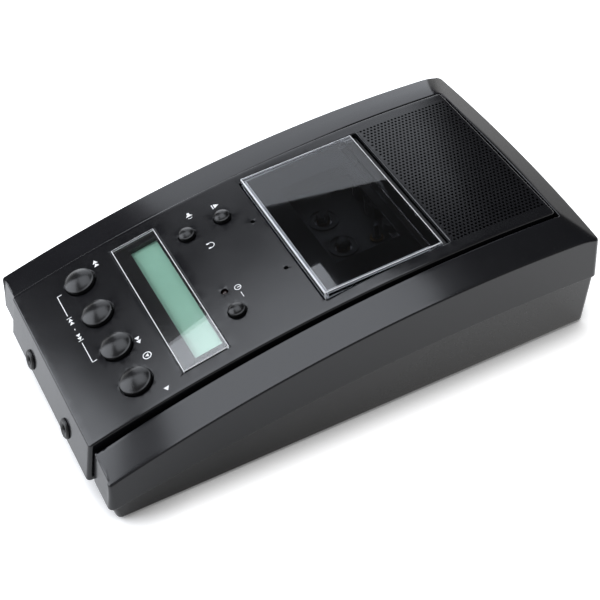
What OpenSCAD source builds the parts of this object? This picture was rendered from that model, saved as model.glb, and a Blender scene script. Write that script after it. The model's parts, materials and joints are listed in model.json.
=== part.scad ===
// Desktop dictation machine with a tape compartment under a clear door, four large round keys,
// a display, three small buttons and a loudspeaker grille.
// Millimetres. X to the user's right, Y to the back, Z up, origin under the middle of the case.

/* [Case] */
// Overall length, from the control panel's foot to the middle of the bowed back
case_l = 232; // [226:1:240]
// Width of the upper case along its lower front edge
case_w = 134.8; // [132:0.2:140]
// Wall thickness of the housings and the control panel
wall = 2.4; // [2:0.1:2.8]
// How far the back wall bows out in plan
back_bow = 1.5; // [0.5:0.1:3]
// Plan radius of the upright corners
corner_r = 3; // [2:0.5:5]
// Radius of the lower housing's corners, seen from above
base_corner_r = 6; // [5:0.5:7]
// Lean of the upper case's side walls, in degrees
side_draft = 1.5; // [0.5:0.1:2.5]
// Setback of the shoulders' front walls behind the control panel's foot
shoulder_setback = 2.6; // [2:0.1:4]
// Lean of the shoulders' front walls, in degrees
shoulder_lean = 10.5; // [5:0.5:14]
// Radius of the arched shoulder tops
roof_r = 520; // [480:5:560]
// Turn of the shoulder arch in plan, in degrees
roof_yaw = 24; // [20:0.5:28]
// Outward slope of the shoulder arch, in degrees
roof_tilt = 9.8; // [8:0.1:11]
// Distance of the shoulder arch's crest line behind the middle, along the case's outer edge
roof_crest_y = 26; // [20:1:32]
// Height of the shoulder arch's crest line at the case's outer edge
roof_crest_z = 51.9; // [50:0.1:53]
// Fall of the case's top behind the control panel, in degrees
back_fall = 24.5; // [18:0.5:26]
// Radius of the case's top across its back
back_roof_r = 1300; // [1000:20:1500]
// Height of the parting line at the front
parting_front_z = 11.8; // [11:0.1:13]
// Height of the parting line at the back
parting_back_z = 29.6; // [27:0.1:32]
// Rise of the arched parting line above its chord
parting_sag = 7.5; // [6:0.1:9]
// Open joint between the two housings
parting_gap = 0.2; // [0.1:0.05:0.3]
// Step in from the upper case to the lower housing
base_step = 1.2; // [0.8:0.1:2]
// Lean of the lower housing's side and back walls, in degrees
base_draft = 4.4; // [2:0.1:6]
// Lean of the lower housing's front wall, in degrees
base_front_lean = 10; // [5:0.5:12]
// Height of the feet below the lower housing
foot_h = 1; // [0.6:0.1:2]
// Radius of a foot
foot_r = 6; // [4:0.5:8]
// Depth of a foot's seat in the floor
foot_seat = 1; // [0.5:0.1:1.2]
// Distance of the feet from the middle, across
foot_x = 44; // [38:1:48]
// Distance of the feet from the middle, along
foot_y = 84; // [75:1:90]

/* [Case screws] */
// Distance of the case screws from the upper case's sides
post_x = 9.9; // [9:0.1:10.4]
// Distance of the case screws from the middle, along
post_y = 98; // [94:1:100]
// Height at which the front posts meet
post_front_z = 9; // [8.5:0.1:10]
// Height at which the back posts meet
post_back_z = 24; // [20:0.5:26]
// Radius of the screws' shanks
screw_r = 1.5; // [1.2:0.1:1.7]
// Radius of the screws' heads
screw_head_r = 2.8; // [2.4:0.1:3]
// Height of the screws' heads
screw_head_h = 2; // [1.5:0.1:2.5]
// Length of the screws' shanks
screw_len = 11; // [8:0.5:13]
// Solid web of the lower posts under the screws' heads
post_web = 3; // [2:0.1:3.4]
// Radial clearance of fixed pieces in their seats
fit_gap = 0.05; // [0.02:0.01:0.1]

/* [Control panel] */
// Width of the control panel
panel_w = 96.4; // [94:0.2:97.6]
// Open groove between the control panel and the shoulders
groove = 1.4; // [1:0.1:2]
// Height of the control panel's foot
panel_foot_z = 12.1; // [12:0.1:13]
// Height of the control panel's top front edge
panel_front_z = 31; // [30:0.1:32]
// Setback of the top front edge behind the foot
panel_lean = 4.1; // [3:0.1:5]
// Height of the control panel's back edge
panel_back_z = 56.6; // [55.6:0.1:57.4]
// Distance of the control panel's back edge from the back of the case
panel_back_inset = 12.4; // [11:0.1:14]
// Rise of the arched control panel above its chord
panel_sag = 8.9; // [8.4:0.1:9.4]
// Depth of the control panel's skirts
panel_skirt = 10; // [8:0.5:10.6]
// Length of the deep side returns behind the control panel's front
panel_return = 9; // [6:0.5:10]
// Drop of the case's back bridge below the control panel
bridge_drop = 0.6; // [0.3:0.1:1]
// Width of the upper case's ledge under the control panel
ledge_w = 5; // [4:0.1:5.2]
// Gap of the control panel's skirts above the ledge
ledge_gap = 0.1; // [0.05:0.05:0.3]

// Distance of the control panel's screws from the middle, across
panel_screw_x = 43; // [42.6:0.1:43.2]
// Distance of the front pair of the control panel's screws from the middle, to the front
panel_screw_row = 8.8; // [8.7:0.1:8.9]
// Distance of the back pair of the control panel's screws from the middle, to the back
panel_screw_back = 92; // [86:1:95]

/* [Keys] */
// Radius of the four large keys
key_r = 6.8; // [6.5:0.1:8]
// Spacing of the large keys
key_pitch = 21.8; // [20:0.2:22.4]
// Distance of the row's middle from the case's middle, to the left
key_row_x = 0.9; // [0:0.1:1.2]
// Distance of the large keys from the middle, to the front
key_row = 84; // [82:0.2:86]
// Crown of the large keys above their rim
key_crown = 2; // [1.2:0.1:3]
// Height of the large keys' rim above the control panel
key_rim = 1.5; // [0.6:0.1:2]
// Travel of the keys and buttons
key_travel = 1.2; // [0.8:0.1:1.4]
// Radius of the three small buttons
button_r = 3.7; // [3:0.1:4.4]
// Height of the small buttons' rim above the control panel
button_rim = 1.4; // [1.2:0.1:2]
// Crown of the small buttons above their rim
button_crown = 1.3; // [0.8:0.1:2]
// Distance of the two left buttons from the middle, across
left_button_x = 27; // [25:0.5:29]
// Distance of the power button from the middle, across
power_button_x = 25.5; // [24:0.5:28]
// Distance of the source and power buttons from the middle, to the front
button_row = 35.2; // [33:0.2:36]
// Distance of the eject button from the middle, to the front
eject_row = 18.1; // [17.6:0.1:19]
// Radial gap round the keys and buttons
key_gap = 0.35; // [0.3:0.05:0.5]
// Width of the flange that keeps a key under the control panel
flange_w = 1; // [0.6:0.1:1.2]
// Thickness of the flange
flange_t = 1.2; // [0.8:0.1:1.5]
// Gap of the flange under the control panel
flange_gap = 0.2; // [0.15:0.05:0.3]
// Radius of the keys' stems
stem_r = 2; // [1.5:0.1:2.5]
// Distance of the pilot light from the middle, across
led_x = 12.6; // [10:0.2:16]
// Radius of the pilot light
led_r = 1.5; // [1:0.1:2]
// Distance of the microphone openings from the middle, across
mic_x = 16.5; // [14:0.5:20]
// Distance of the microphone openings from the middle, to the front
mic_row = 8.2; // [8:0.1:9]
// Radius of the microphone openings
mic_hole_r = 0.8; // [0.7:0.1:1.2]
// Radius of the microphone capsules
mic_r = 2.5; // [2:0.1:2.8]
// Height of the microphone capsules
mic_h = 3; // [2:0.1:4]

/* [Display] */
// Width of the display's window
window_w = 81.6; // [78:0.2:82]
// Depth of the display's window, front to back
window_d = 21.3; // [20:0.1:22]
// Distance of the display's middle from the middle of the case, to the front
window_row = 56.05; // [55:0.05:57]
// Thickness of the clear lens
lens_t = 2; // [1.5:0.1:2.2]
// Height of the lens above the control panel
lens_proud = 0.4; // [0.2:0.1:0.6]
// Gap round the lens
lens_gap = 0.2; // [0.1:0.05:0.3]
// Width of the visible display
view_w = 72.4; // [68:0.2:74]
// Depth of the visible display, front to back
view_d = 12.6; // [11:0.1:13.4]
// Offset of the visible display to the back of its window
view_shift = 2.75; // [1.5:0.05:3]
// Margin of the bezel and the display glass round what they frame
bezel_margin = 2.2; // [1.5:0.1:2.4]
// Thickness of the bezel's plate
bezel_t = 1.4; // [1:0.1:2]
// Thickness of the display glass
display_t = 2.4; // [2:0.1:3]

/* [Boards] */
// Depth of the control board under the control panel at the display
board_depth = 13.2; // [13:0.1:14]
// Thickness of the circuit boards
board_t = 1.6; // [1:0.1:2]
// Width of the control board
control_board_w = 87; // [84:0.5:88]
// Distance of the control board's front edge from the middle
control_board_front = 98; // [96:0.5:99]
// Distance of the control board's back edge from the middle, to the front
control_board_back = 13; // [12.5:0.1:14]
// Distance of the control board's bosses from the middle, across
control_boss_x = 40.2; // [39.6:0.1:40.6]
// Radius of the bosses that carry boards
boss_r = 2.4; // [2.2:0.1:2.6]
// Side of the push switches
switch_w = 6; // [5:0.2:6.6]
// Height of the push switches with their plungers
switch_h = 4.8; // [4:0.1:5]
// Room left under a pressed key
press_room = 0.5; // [0.4:0.1:0.8]
// Width of the main board
main_board_w = 96; // [90:1:100]
// Distance of the main board's front edge from the middle
main_board_front = 101; // [98:0.5:102]
// Distance of the main board's back edge from the middle, to the front
main_board_back = 12; // [8:1:20]
// Width of the main board's chips
chip_w = 12; // [8:0.5:14]
// Depth of the chips, front to back
chip_d = 8; // [6:0.5:10]
// Height of the chips
chip_h = 2; // [1.5:0.1:3]
// Spacing of the chips
chip_pitch = 24; // [20:0.5:26]
// Distance of the first chip from the middle, to the left
chip_x = 26; // [22:0.5:28]
// Distance of the chips from the main board's front edge
chip_row = 39; // [34:0.5:42]
// Radius of the capacitors
can_r = 3.2; // [2.5:0.1:4]
// Height of the capacitors
can_h = 8; // [6:0.5:10]
// Spacing of the capacitors
can_pitch = 14; // [10:0.5:15]
// Distance of the first capacitor from the middle, to the left
can_x = 30; // [26:0.5:34]
// Distance of the capacitors and the coil from the main board's back edge
can_row = 24; // [18:0.5:28]
// Width of the coil
coil_w = 14; // [10:0.5:16]
// Depth of the coil, front to back
coil_d = 18; // [14:0.5:20]
// Height of the coil
coil_h = 3; // [2:0.1:6]
// Distance of the coil from the middle, to the right
coil_x = 30; // [26:0.5:34]
// Width of the board's plug
plug_w = 9; // [6:0.5:12]
// Depth of the plug, front to back
plug_d = 12; // [8:0.5:14]
// Height of the plug
plug_h = 4; // [3:0.1:6]
// Distance of the plug from the middle, to the right
plug_x = 24; // [20:0.5:30]
// Distance of the plug from the main board's front edge
plug_row = 19; // [14:0.5:22]
// Open gap of the main board round the case screws' posts
post_gap = 0.5; // [0.3:0.1:1]
// Height of the main board above the floor
standoff_h = 4.6; // [4:0.1:5]
// Radius of the small screws
small_screw_r = 1; // [0.8:0.1:1.2]
// Radius of the small screws' heads
small_head_r = 1.9; // [1.6:0.1:2.2]
// Height of the small screws' heads
small_head_h = 1.4; // [1:0.1:1.8]
// Length of the small screws' shanks
small_screw_len = 4.5; // [4:0.1:5]

/* [Cassette door] */
// Width of the door
door_w = 82.4; // [80:0.2:83]
// Distance of the door's front edge from the middle, to the front
door_front = 2.5; // [2:0.1:3]
// Distance of the hinge from the middle, to the back
hinge_y = 48; // [47.6:0.1:48.4]
// Height of the hinge
hinge_z = 54.6; // [54.2:0.1:54.8]
// Radius of the door's round back edge about the hinge
door_back_r = 5.5; // [5:0.1:5.8]
// Height of the door's top at its front edge
door_front_z = 55.7; // [55.3:0.1:56.2]
// Fall of the door's top to the front, in degrees
door_pitch = 2.1; // [1.8:0.1:2.4]
// Thickness of the door's clear plate
door_t = 1.8; // [1.4:0.1:2]
// Height of the door's side and front walls
door_rim = 4.2; // [3.8:0.1:4.6]
// Thickness of the door's side and front walls
door_wall = 1.5; // [1.2:0.1:1.8]
// Open gap round the door
door_gap = 0.7; // [0.5:0.1:0.8]
// Wall of the control panel's lugs in front of and behind the hinge pins
lug_wall = 2; // [1.5:0.1:2.4]
// Open gap of the deck tray round the lugs
lug_gap = 0.3; // [0.2:0.05:0.4]
// Radius of the hinge pins
hinge_pin_r = 1.25; // [1:0.05:1.4]
// Running clearance of shafts and pins in their bores
run_gap = 0.05; // [0.02:0.01:0.1]
// Thickness of the cassette carrier's frame
carrier_t = 1.2; // [1:0.1:1.4]
// Width of the carrier's window
carrier_window_w = 54; // [50:1:56]
// Depth of the carrier's window, front to back
carrier_window_d = 31; // [28:0.5:32]
// Distance of the window's front edge from the middle, to the back
carrier_window_front = 9.6; // [8:0.2:10]
// Distance of the carrier's rails from the middle, across
rail_x = 31; // [30.4:0.2:33]
// Thickness of the rails
rail_t = 1.5; // [1.2:0.1:2]
// Height of the rails
rail_h = 8.6; // [8:0.1:8.8]
// Width of the lip that carries the cassette
rail_lip = 1.6; // [1:0.1:1.8]
// Width of the latch
latch_w = 4.4; // [3.6:0.1:4.6]
// Thickness of the latch
latch_t = 2; // [1.5:0.1:2.2]
// Reach of the latch in front of the eject button's middle
latch_reach = 4; // [3.5:0.1:4.5]
// Distance of the latch from the middle, across
latch_x = 35.4; // [35.2:0.1:35.8]

/* [Tape deck] */
// Height of the deck's floor
deck_z = 43.5; // [43.3:0.1:43.7]
// Thickness of the deck tray's walls
tray_wall = 1.6; // [1.2:0.1:1.8]
// Thickness of the deck tray's floor
tray_floor = 2; // [1.8:0.1:2.2]
// Thickness of the steel chassis
chassis_t = 1.5; // [1.2:0.1:1.8]
// Distance of the spindles from the middle, across
spindle_x = 9.5; // [9.2:0.1:10]
// Distance of the spindles from the middle, to the back
spindle_y = 22; // [21:0.2:23]
// Height of the spindles above the deck's floor
spindle_h = 4.4; // [4:0.1:4.5]
// Radius of the spindles' shafts
spindle_shaft_r = 1.5; // [1.2:0.1:1.8]
// Radius of the spindles' splined heads
spindle_r = 3; // [2.6:0.1:3.4]
// Radius of the reel turntables
turntable_r = 7.5; // [7:0.1:8]
// Thickness of the reel turntables
turntable_t = 3; // [2:0.1:3.2]
// Distance of the capstan from the middle, across
capstan_x = 12; // [11.6:0.1:12.4]
// Distance of the capstan from the middle, to the back
capstan_y = 37; // [36.6:0.1:37.4]
// Radius of the capstan shaft
capstan_r = 1.2; // [1:0.05:1.4]
// Height of the capstan above the deck's floor
capstan_h = 8; // [7:0.1:8.4]
// Radius of the capstan's bearing bush
bearing_r = 3; // [2.4:0.1:3.2]
// Radius of the pinch roller
pinch_r = 4; // [3.6:0.1:4.2]
// Open gap between the pinch roller and the capstan at rest
pinch_gap = 2.3; // [2:0.1:2.5]
// Distance of the pinch arm's pivot from the roller
pinch_arm_l = 13; // [12.4:0.1:13.4]
// Radius of the pinch arm's pivot
pinch_pivot_r = 1.5; // [1.2:0.1:1.8]
// Height of the pinch arm's pivot above the deck's floor
pinch_pivot_h = 3.6; // [3.2:0.1:4]
// Height of the pinch roller
pinch_h = 4.4; // [3.6:0.1:4.8]
// Side of the recording head
head_w = 10; // [8:0.2:11]
// Height of the recording head
head_h = 7; // [6:0.1:7.4]
// Distance of the heads' faces from the middle, to the back
head_row = 40; // [39:0.2:41]

/* [Tape drive] */
// Radius of the flywheel
flywheel_r = 20; // [18:0.5:21]
// Thickness of the flywheel
flywheel_t = 5; // [4:0.2:6]
// Height of the flywheel and the motor's pulley
flywheel_z = 12.5; // [10:0.5:14]
// Radius of the drive hub on the capstan shaft
hub_r = 4; // [3.6:0.1:4.4]
// Radius of the idler wheel
idler_r = 4.5; // [4.2:0.1:5]
// Running gap between friction wheels, and between the belt and its wheels
wheel_gap = 0.3; // [0.3:0.05:0.4]
// Radius of the motor
motor_r = 10; // [9:0.2:10.4]
// Length of the motor
motor_l = 18; // [14:0.5:20]
// Distance of the motor from the middle, to the left
motor_x = 25; // [24:0.5:27]
// Distance of the motor from the middle, to the back
motor_y = 12; // [11:0.2:13]
// Radius of the motor's centring boss
motor_boss_r = 3; // [2.4:0.1:3.4]
// Radius of the motor's shaft
motor_shaft_r = 1; // [0.8:0.05:1.2]
// Radius of the motor pulley's flanges
pulley_r = 5; // [4.6:0.1:6]
// Depth of the belt grooves
belt_groove = 1.4; // [1.2:0.1:1.6]
// Side of the square drive belt
belt_w = 1.2; // [0.8:0.1:1.4]

/* [Loudspeaker] */
// Width of the grille plate beyond the door's, both sides together
grille_w = 2.6; // [1:0.2:4]
// Depth of the grille plate, front to back
grille_d = 44; // [42:0.5:44.6]
// Distance of the grille's middle from the middle of the case, to the back
grille_y = 79; // [78.6:0.1:79.2]
// Width of the grille's flange under the control panel
grille_flange = 1.2; // [0.8:0.1:1.3]
// Thickness of the grille plate
grille_t = 1.8; // [1.4:0.1:2.2]
// Height of the grille plate's top
grille_z = 56.6; // [56:0.1:56.8]
// Spacing of the grille's holes
grille_pitch = 4; // [3.6:0.1:5]
// Radius of the grille's holes
grille_hole_r = 1.2; // [0.8:0.1:1.4]
// Plain border of the grille plate
grille_border = 2; // [1.5:0.1:3]
// Radius of the loudspeaker
speaker_r = 20.5; // [19:0.5:21]
// Depth of the loudspeaker's basket
speaker_d = 12; // [10:0.5:14]
// Radius of the loudspeaker's magnet
magnet_r = 13; // [11:0.5:14]
// Thickness of the loudspeaker's magnet
magnet_t = 9; // [7:0.5:11]
// Thickness of the gasket between the loudspeaker and the grille
gasket_t = 1; // [0.6:0.1:1.5]

/* [Sockets] */
// Distance of the front sockets from the middle, across
jack_x = 22; // [18:0.5:26]
// Height of the front sockets up the control panel's front
jack_rise = 5.2; // [5:0.1:6]
// Radius of a socket's bore
jack_bore_r = 1.8; // [1.7:0.05:1.9]
// Radius of a socket's collar
jack_collar_r = 4.4; // [3.4:0.1:4.6]
// Height of a socket's collar in front of the control panel
jack_proud = 1.2; // [0.8:0.1:2]
// Radius of a socket's neck in the control panel
jack_neck_r = 3.2; // [3:0.1:3.4]
// Depth of a socket's bore behind the control panel's face
jack_depth = 12.5; // [11:0.5:13]
// Distance of the power inlet from the middle, to the left
inlet_x = 40; // [34:1:44]
// Height of the power inlet
inlet_z = 14; // [12:0.5:18]
// Radius of the power inlet's nose
inlet_r = 4.4; // [4:0.1:5]
// Radius of the power inlet's bore
inlet_bore_r = 2.8; // [2.6:0.1:3]
// Radius of the power inlet's centre pin
inlet_pin_r = 1; // [0.8:0.1:1.2]

/* [Hidden] */
arc_fn = 720;
round_fn = 64;
big = 400;
front_y = -case_l / 2;
back_y = case_l / 2;
shoulder_y = front_y + shoulder_setback;
panel_back_y = back_y - panel_back_inset;
panel_arc = [[front_y + panel_lean, panel_front_z], [panel_back_y, panel_back_z], panel_sag];
parting_arc = [[shoulder_y, parting_front_z], [back_y - back_bow, parting_back_z], parting_sag];
front_lean = atan(panel_lean / (panel_front_z - panel_foot_z));
opening_x = panel_w / 2 + groove;
opening_back = panel_back_y + groove;
ledge_front = front_y + panel_lean + panel_return + groove;
floor_z = foot_h + wall;
post_at = case_w / 2 - post_x;
post_r = screw_head_r + 2;
upper_post_r = screw_r + 2;
window_y = -window_row;
view_y = view_shift;
bezel_top = -wall - 0.2;
display_top = bezel_top - bezel_t;
holder_top = display_top - display_t;
key_places = [for (i = [0:3]) [(i - 1.5) * key_pitch - key_row_x, -key_row]];
source_place = [-left_button_x, -button_row];
eject_place = [-left_button_x, -eject_row];
power_place = [power_button_x, -button_row];
switch_places = concat(key_places, [source_place, eject_place, power_place]);
control_bosses = [for (x = [-1, 1], y = [control_board_front - 3, control_board_back + 4])
  [x * control_boss_x, -y]];
main_board_z = floor_z + standoff_h;
main_bosses = [for (x = [-1, 1], y = [main_board_front - 5, main_board_back + 6])
  [x * (main_board_w / 2 - 5), -y]];
door_l = hinge_y + door_back_r + door_front;
well_x = door_w / 2 + door_gap;
well_front = -door_front - door_gap;
well_back = hinge_y + door_back_r + door_gap - 0.3;
chassis_z = deck_z - tray_floor - chassis_t;
chassis_w = 2 * well_x - 6;
plate_w = door_w + grille_w;
lug_w = panel_w / 2 - wall - well_x + 0.2;
ear_x = 28;
ear_t = 2;
ear_r = 2.8;
ear_z = 47.2;
tray_boss_h = 3;
panel_bosses = [for (x = [-1, 1], y = [-panel_screw_row, panel_screw_back]) [x * panel_screw_x, y]];
tray_ears = [for (x = [-1, 1], y = [well_front - 5.2, well_back + 6]) [x * ear_x, y]];
tray_bosses = [for (x = [-1, 1], y = [well_front + 4, well_back - 4]) [x * (well_x - 4), y]];
capstan = [capstan_x, capstan_y];
take_up = [spindle_x, spindle_y];
supply = [-spindle_x, spindle_y];
motor_place = [-motor_x, motor_y];
turntable_z = chassis_z - 2 - turntable_t;
idler = meet(capstan, hub_r + idler_r + wheel_gap, take_up, turntable_r + idler_r + wheel_gap);
pinch = [capstan_x, capstan_y + capstan_r + pinch_gap + pinch_r];
pinch_pivot = pinch + [pinch_arm_l, 0];
pinch_z = deck_z + 2.8;
pulley_groove_r = pulley_r - belt_groove;
flywheel_groove_r = flywheel_r - belt_groove;
thrust_z = flywheel_z - 1.5;
thrust_depth = 1;
belt_z = flywheel_z + flywheel_t / 2 - belt_w / 2;
flange_z = panel_z(grille_y + grille_d / 2) - wall - 0.1;
rim_t = 1.2;
speaker_bosses = [for (a = [45:90:315]) [cos(a), sin(a)] * (speaker_r + 2.1) + [0, grille_y]];
gasket_z = grille_z - grille_t - 0.1 - gasket_t;
basket_z = gasket_z - speaker_d;
latch_z = panel_z(-eject_row - latch_reach) - wall - 0.5 - latch_t;
inlet_face = base_back(inlet_z) - 0.4;

// An arc is [start, end, rise], with points as [y, z]
function arc_r(a) = let (c = norm(a[1] - a[0])) (c * c / 4 + a[2] * a[2]) / (2 * a[2]);
function arc_c(a) = let (d = a[1] - a[0], n = [-d[1], d[0]] / norm(d))
  (a[0] + a[1]) / 2 + n * (a[2] - arc_r(a));
function arc_z(a, y) = arc_c(a)[1] + sqrt(pow(arc_r(a), 2) - pow(y - arc_c(a)[0], 2));
// Height and slope of the control panel
function panel_z(y) = arc_z(panel_arc, y);
function tilt_at(y) = asin((arc_c(panel_arc)[0] - y) / arc_r(panel_arc));
// Point at given distances from two others, on the right of the way from a to b
function meet(a, ra, b, rb) =
  let (d = norm(b - a), u = (b - a) / d, s = (ra * ra - rb * rb + d * d) / (2 * d), h = sqrt(ra * ra - s * s))
  a + u * s + [-u[1], u[0]] * h;
// Half widths and ends of the housings at a height
function case_half(z) = case_w / 2 - (z - parting_front_z) * tan(side_draft);
function base_half(z) = case_half(parting_back_z) - base_step - (parting_back_z - z) * tan(base_draft);
function shoulder_front(z) = shoulder_y + (z - parting_front_z) * tan(shoulder_lean);
function base_front(z) = shoulder_y + base_step + (parting_front_z - z) * tan(base_front_lean);
function base_back(z) = back_y - base_step - (parting_back_z - z) * tan(base_draft);
// Depth of the control board under the control panel at a place, and length of a key's stem
function board_gap(y) = board_depth - pow(y - window_y, 2) / (2 * arc_r(panel_arc));
function stem_bottom(y) = -(board_gap(y) - switch_h - key_travel - press_room);
function post_z(y) = y < 0 ? post_front_z : post_back_z;

// Cylinder that fills everything under an arc
module under_arc(a, drop) {
  translate([0, arc_c(a)[0], arc_c(a)[1]])
    rotate([0, 90, 0])
      cylinder(r = arc_r(a) - drop, h = big, center = true, $fn = arc_fn);
}

// Shape drawn in the side view, carried across the case
module across(w) {
  rotate([90, 0, 90]) linear_extrude(height = w, center = true) children();
}

// Shape drawn in the front view, carried along the case
module along() {
  rotate([90, 0, 0]) linear_extrude(height = big, center = true) children();
}

// Plan outline with a bowed back and round corners
module plan_outline(half, y0, y1, r) {
  bow_r = (half * half + back_bow * back_bow) / (2 * back_bow);
  difference() {
    intersection() {
      translate([-half, y0]) square([2 * half, y1 - y0]);
      translate([0, y1 - bow_r]) circle(r = bow_r, $fn = arc_fn);
    }
    for (sx = [-1, 1]) {
      translate([sx * (half - r), y1 - back_bow - r]) corner_cut(sx, 1, r);
      translate([sx * (half - r), y0 + r]) corner_cut(sx, -1, r);
    }
  }
}

module corner_cut(sx, sy, r) {
  difference() {
    translate([sx > 0 ? 0 : -r - 1, sy > 0 ? 0 : -r - 1]) square(r + 1);
    circle(r = r, $fn = round_fn);
  }
}

// Arched top of the right shoulder, as a turned and tilted cylinder
module shoulder_roof(t) {
  translate([case_half(roof_crest_z), roof_crest_y, roof_crest_z])
    rotate([0, roof_tilt, -roof_yaw])
      translate([0, 0, -roof_r])
        rotate([0, 90, 0])
          cylinder(r = roof_r - t, h = 2 * big, center = true, $fn = arc_fn);
}

// Top of the case behind the control panel, as a tilted cylinder that arches across
module back_roof(t) {
  translate([0, opening_back, panel_back_z - bridge_drop])
    rotate([-back_fall, 0, 0])
      translate([0, 0, -back_roof_r])
        rotate([90, 0, 0])
          cylinder(r = back_roof_r - t, h = 2 * big, center = true, $fn = arc_fn);
}

// Outer form of the upper case, drawn in by t
module case_form(t) {
  top = panel_back_z + 10;
  intersection() {
    linear_extrude(height = top) plan_outline(case_w / 2 - t, shoulder_y + t, back_y - t, corner_r);
    along() polygon([[-case_half(0) + t, 0], [case_half(0) - t, 0], [case_half(top) - t, top],
      [t - case_half(top), top]]);
    across(big) polygon([[shoulder_front(0) + t, 0], [back_y, 0], [back_y, top],
      [shoulder_front(top) + t, top]]);
    under_arc(panel_arc, bridge_drop + t);
    back_roof(t);
    shoulder_roof(t);
    mirror([1, 0, 0]) shoulder_roof(t);
  }
}

// Outer form of the lower housing, drawn in by t, with its top moved down by drop
module base_form(t, drop) {
  top = panel_back_z;
  low = foot_h + t;
  intersection() {
    linear_extrude(height = top)
      plan_outline(base_half(parting_back_z) - t, shoulder_y + base_step + t, back_y - base_step - t,
        base_corner_r - t);
    along() polygon([[-base_half(low) + t, low], [base_half(low) - t, low], [base_half(top) - t, top],
      [t - base_half(top), top]]);
    across(big) polygon([[base_front(low) + t, low], [base_back(low) - t, low], [base_back(top) - t, top],
      [base_front(top) + t, top]]);
    under_arc(parting_arc, drop);
  }
}

module at_corners(x, y) {
  for (sx = [-1, 1], sy = [-1, 1]) translate([sx * x, sy * y, 0]) children();
}

// Frame on the control panel's surface, Z along its normal
module on_panel(p) {
  translate([p[0], p[1], panel_z(p[1])]) rotate([tilt_at(p[1]), 0, 0]) children();
}

// Frame of the display and the control board
module on_window() {
  on_panel([0, window_y]) children();
}

// Frame on the control panel's front, Z out of it and Y up it
module on_front(x, rise) {
  translate([x, front_y + rise * sin(front_lean), panel_foot_z + rise * cos(front_lean)])
    rotate([90 - front_lean, 0, 0])
      children();
}

// Frame of the door's top, from its front edge
module on_door() {
  translate([0, -door_front, door_front_z]) rotate([door_pitch, 0, 0]) children();
}

module rod(r, z0, z1) {
  translate([0, 0, z0]) cylinder(r = r, h = z1 - z0, $fn = round_fn);
}

module tube(r, bore, z0, z1) {
  difference() {
    rod(r, z0, z1);
    rod(bore, z0 - 1, z1 + 1);
  }
}

module block(w, d, z0, z1) {
  translate([-w / 2, -d / 2, z0]) cube([w, d, z1 - z0]);
}

// Screw with its head below z = 0
module screw_up(r, len, head_r, head_h) {
  difference() {
    union() {
      rod(r, 0, len);
      rod(head_r, -head_h, 0);
    }
    for (a = [0, 90]) rotate([0, 0, a]) block(head_r * 1.2, 0.5, -head_h - 1, -head_h * 0.45);
  }
}

module lower_housing() {
  color("#26262a")
    difference() {
      union() {
        difference() {
          base_form(0, parting_gap);
          base_form(wall, -wall);
        }
        intersection() {
          at_corners(post_at, post_y) rod(post_r, foot_h, big);
          base_form(0, parting_gap);
          union() {
            translate([0, -big / 2, 0]) block(big, big, 0, post_front_z);
            translate([0, big / 2, 0]) block(big, big, 0, post_back_z);
          }
        }
        for (p = main_bosses) translate(p) rod(boss_r + 0.6, foot_h + 0.5, main_board_z);
        translate(capstan) rod(capstan_r + 2, foot_h + 0.5, thrust_z);
      }
      translate(capstan) rod(capstan_r + run_gap, thrust_z - thrust_depth - 0.3, big);
      translate([-opening_x, front_y, panel_foot_z - parting_gap]) cube([2 * opening_x, panel_return, big]);
      for (sx = [-1, 1], sy = [-1, 1]) translate([sx * post_at, sy * post_y, 0]) {
        rod(screw_head_r + 0.3, 0, post_z(sy) - post_web);
        rod(screw_r + 0.2, 0, big);
      }
      for (p = main_bosses) translate(p)
        rod(small_screw_r + fit_gap, main_board_z + board_t - small_screw_len, big);
      at_corners(foot_x, foot_y) rod(foot_r + fit_gap, 0, foot_h + foot_seat);
      translate([-inlet_x, inlet_face, inlet_z]) rotate([-90, 0, 0]) rod(inlet_r + 0.1, -wall * 2, 10);
    }
}

module upper_case() {
  ledge = panel_skirt + ledge_gap;
  front_cheek = ledge_front - groove;
  color("#222226")
    difference() {
      union() {
        difference() {
          case_form(0);
          case_form(wall);
        }
        intersection() {
          case_form(0);
          difference() {
            translate([-opening_x - wall, front_y, 0])
              cube([2 * (opening_x + wall), opening_back + wall - front_y, big]);
            under_arc(panel_arc, ledge + wall);
          }
        }
        intersection() {
          case_form(0);
          for (sx = [-1, 1]) translate([sx * (opening_x + wall / 2), (front_y + front_cheek) / 2, 0])
            block(wall, front_cheek - front_y, 0, big);
        }
        intersection() {
          case_form(0.5);
          for (sx = [-1, 1], sy = [-1, 1])
            translate([sx * post_at, sy * post_y, 0]) rod(upper_post_r, post_z(sy), big);
        }
      }
      difference() {
        under_arc(parting_arc, 0);
        for (sx = [-1, 1], sy = [-1, 1])
          translate([sx * post_at, sy * post_y, 0]) rod(upper_post_r, post_z(sy), big);
      }
      difference() {
        translate([-opening_x, front_y - 1, 0]) cube([2 * opening_x, opening_back - front_y + 1, big]);
        under_arc(panel_arc, ledge);
      }
      translate([-opening_x, front_y - 1, 0]) cube([2 * opening_x, ledge_front - front_y + 1, big]);
      difference() {
        translate([-opening_x + ledge_w, front_y, 0])
          cube([2 * (opening_x - ledge_w), opening_back - ledge_w - front_y, big]);
        for (p = panel_bosses) on_ledge(p) block(2 * small_head_r + 1.2, 2 * boss_r, -wall * 2, 1);
      }
      for (sx = [-1, 1], sy = [-1, 1])
        translate([sx * post_at, sy * post_y, 0])
          rod(screw_r + fit_gap, 0, post_z(sy) - post_web + screw_len + 0.5);
      for (p = panel_bosses) on_ledge(p) rod(small_screw_r + 0.2, -wall * 2, 1);
    }
}

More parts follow.
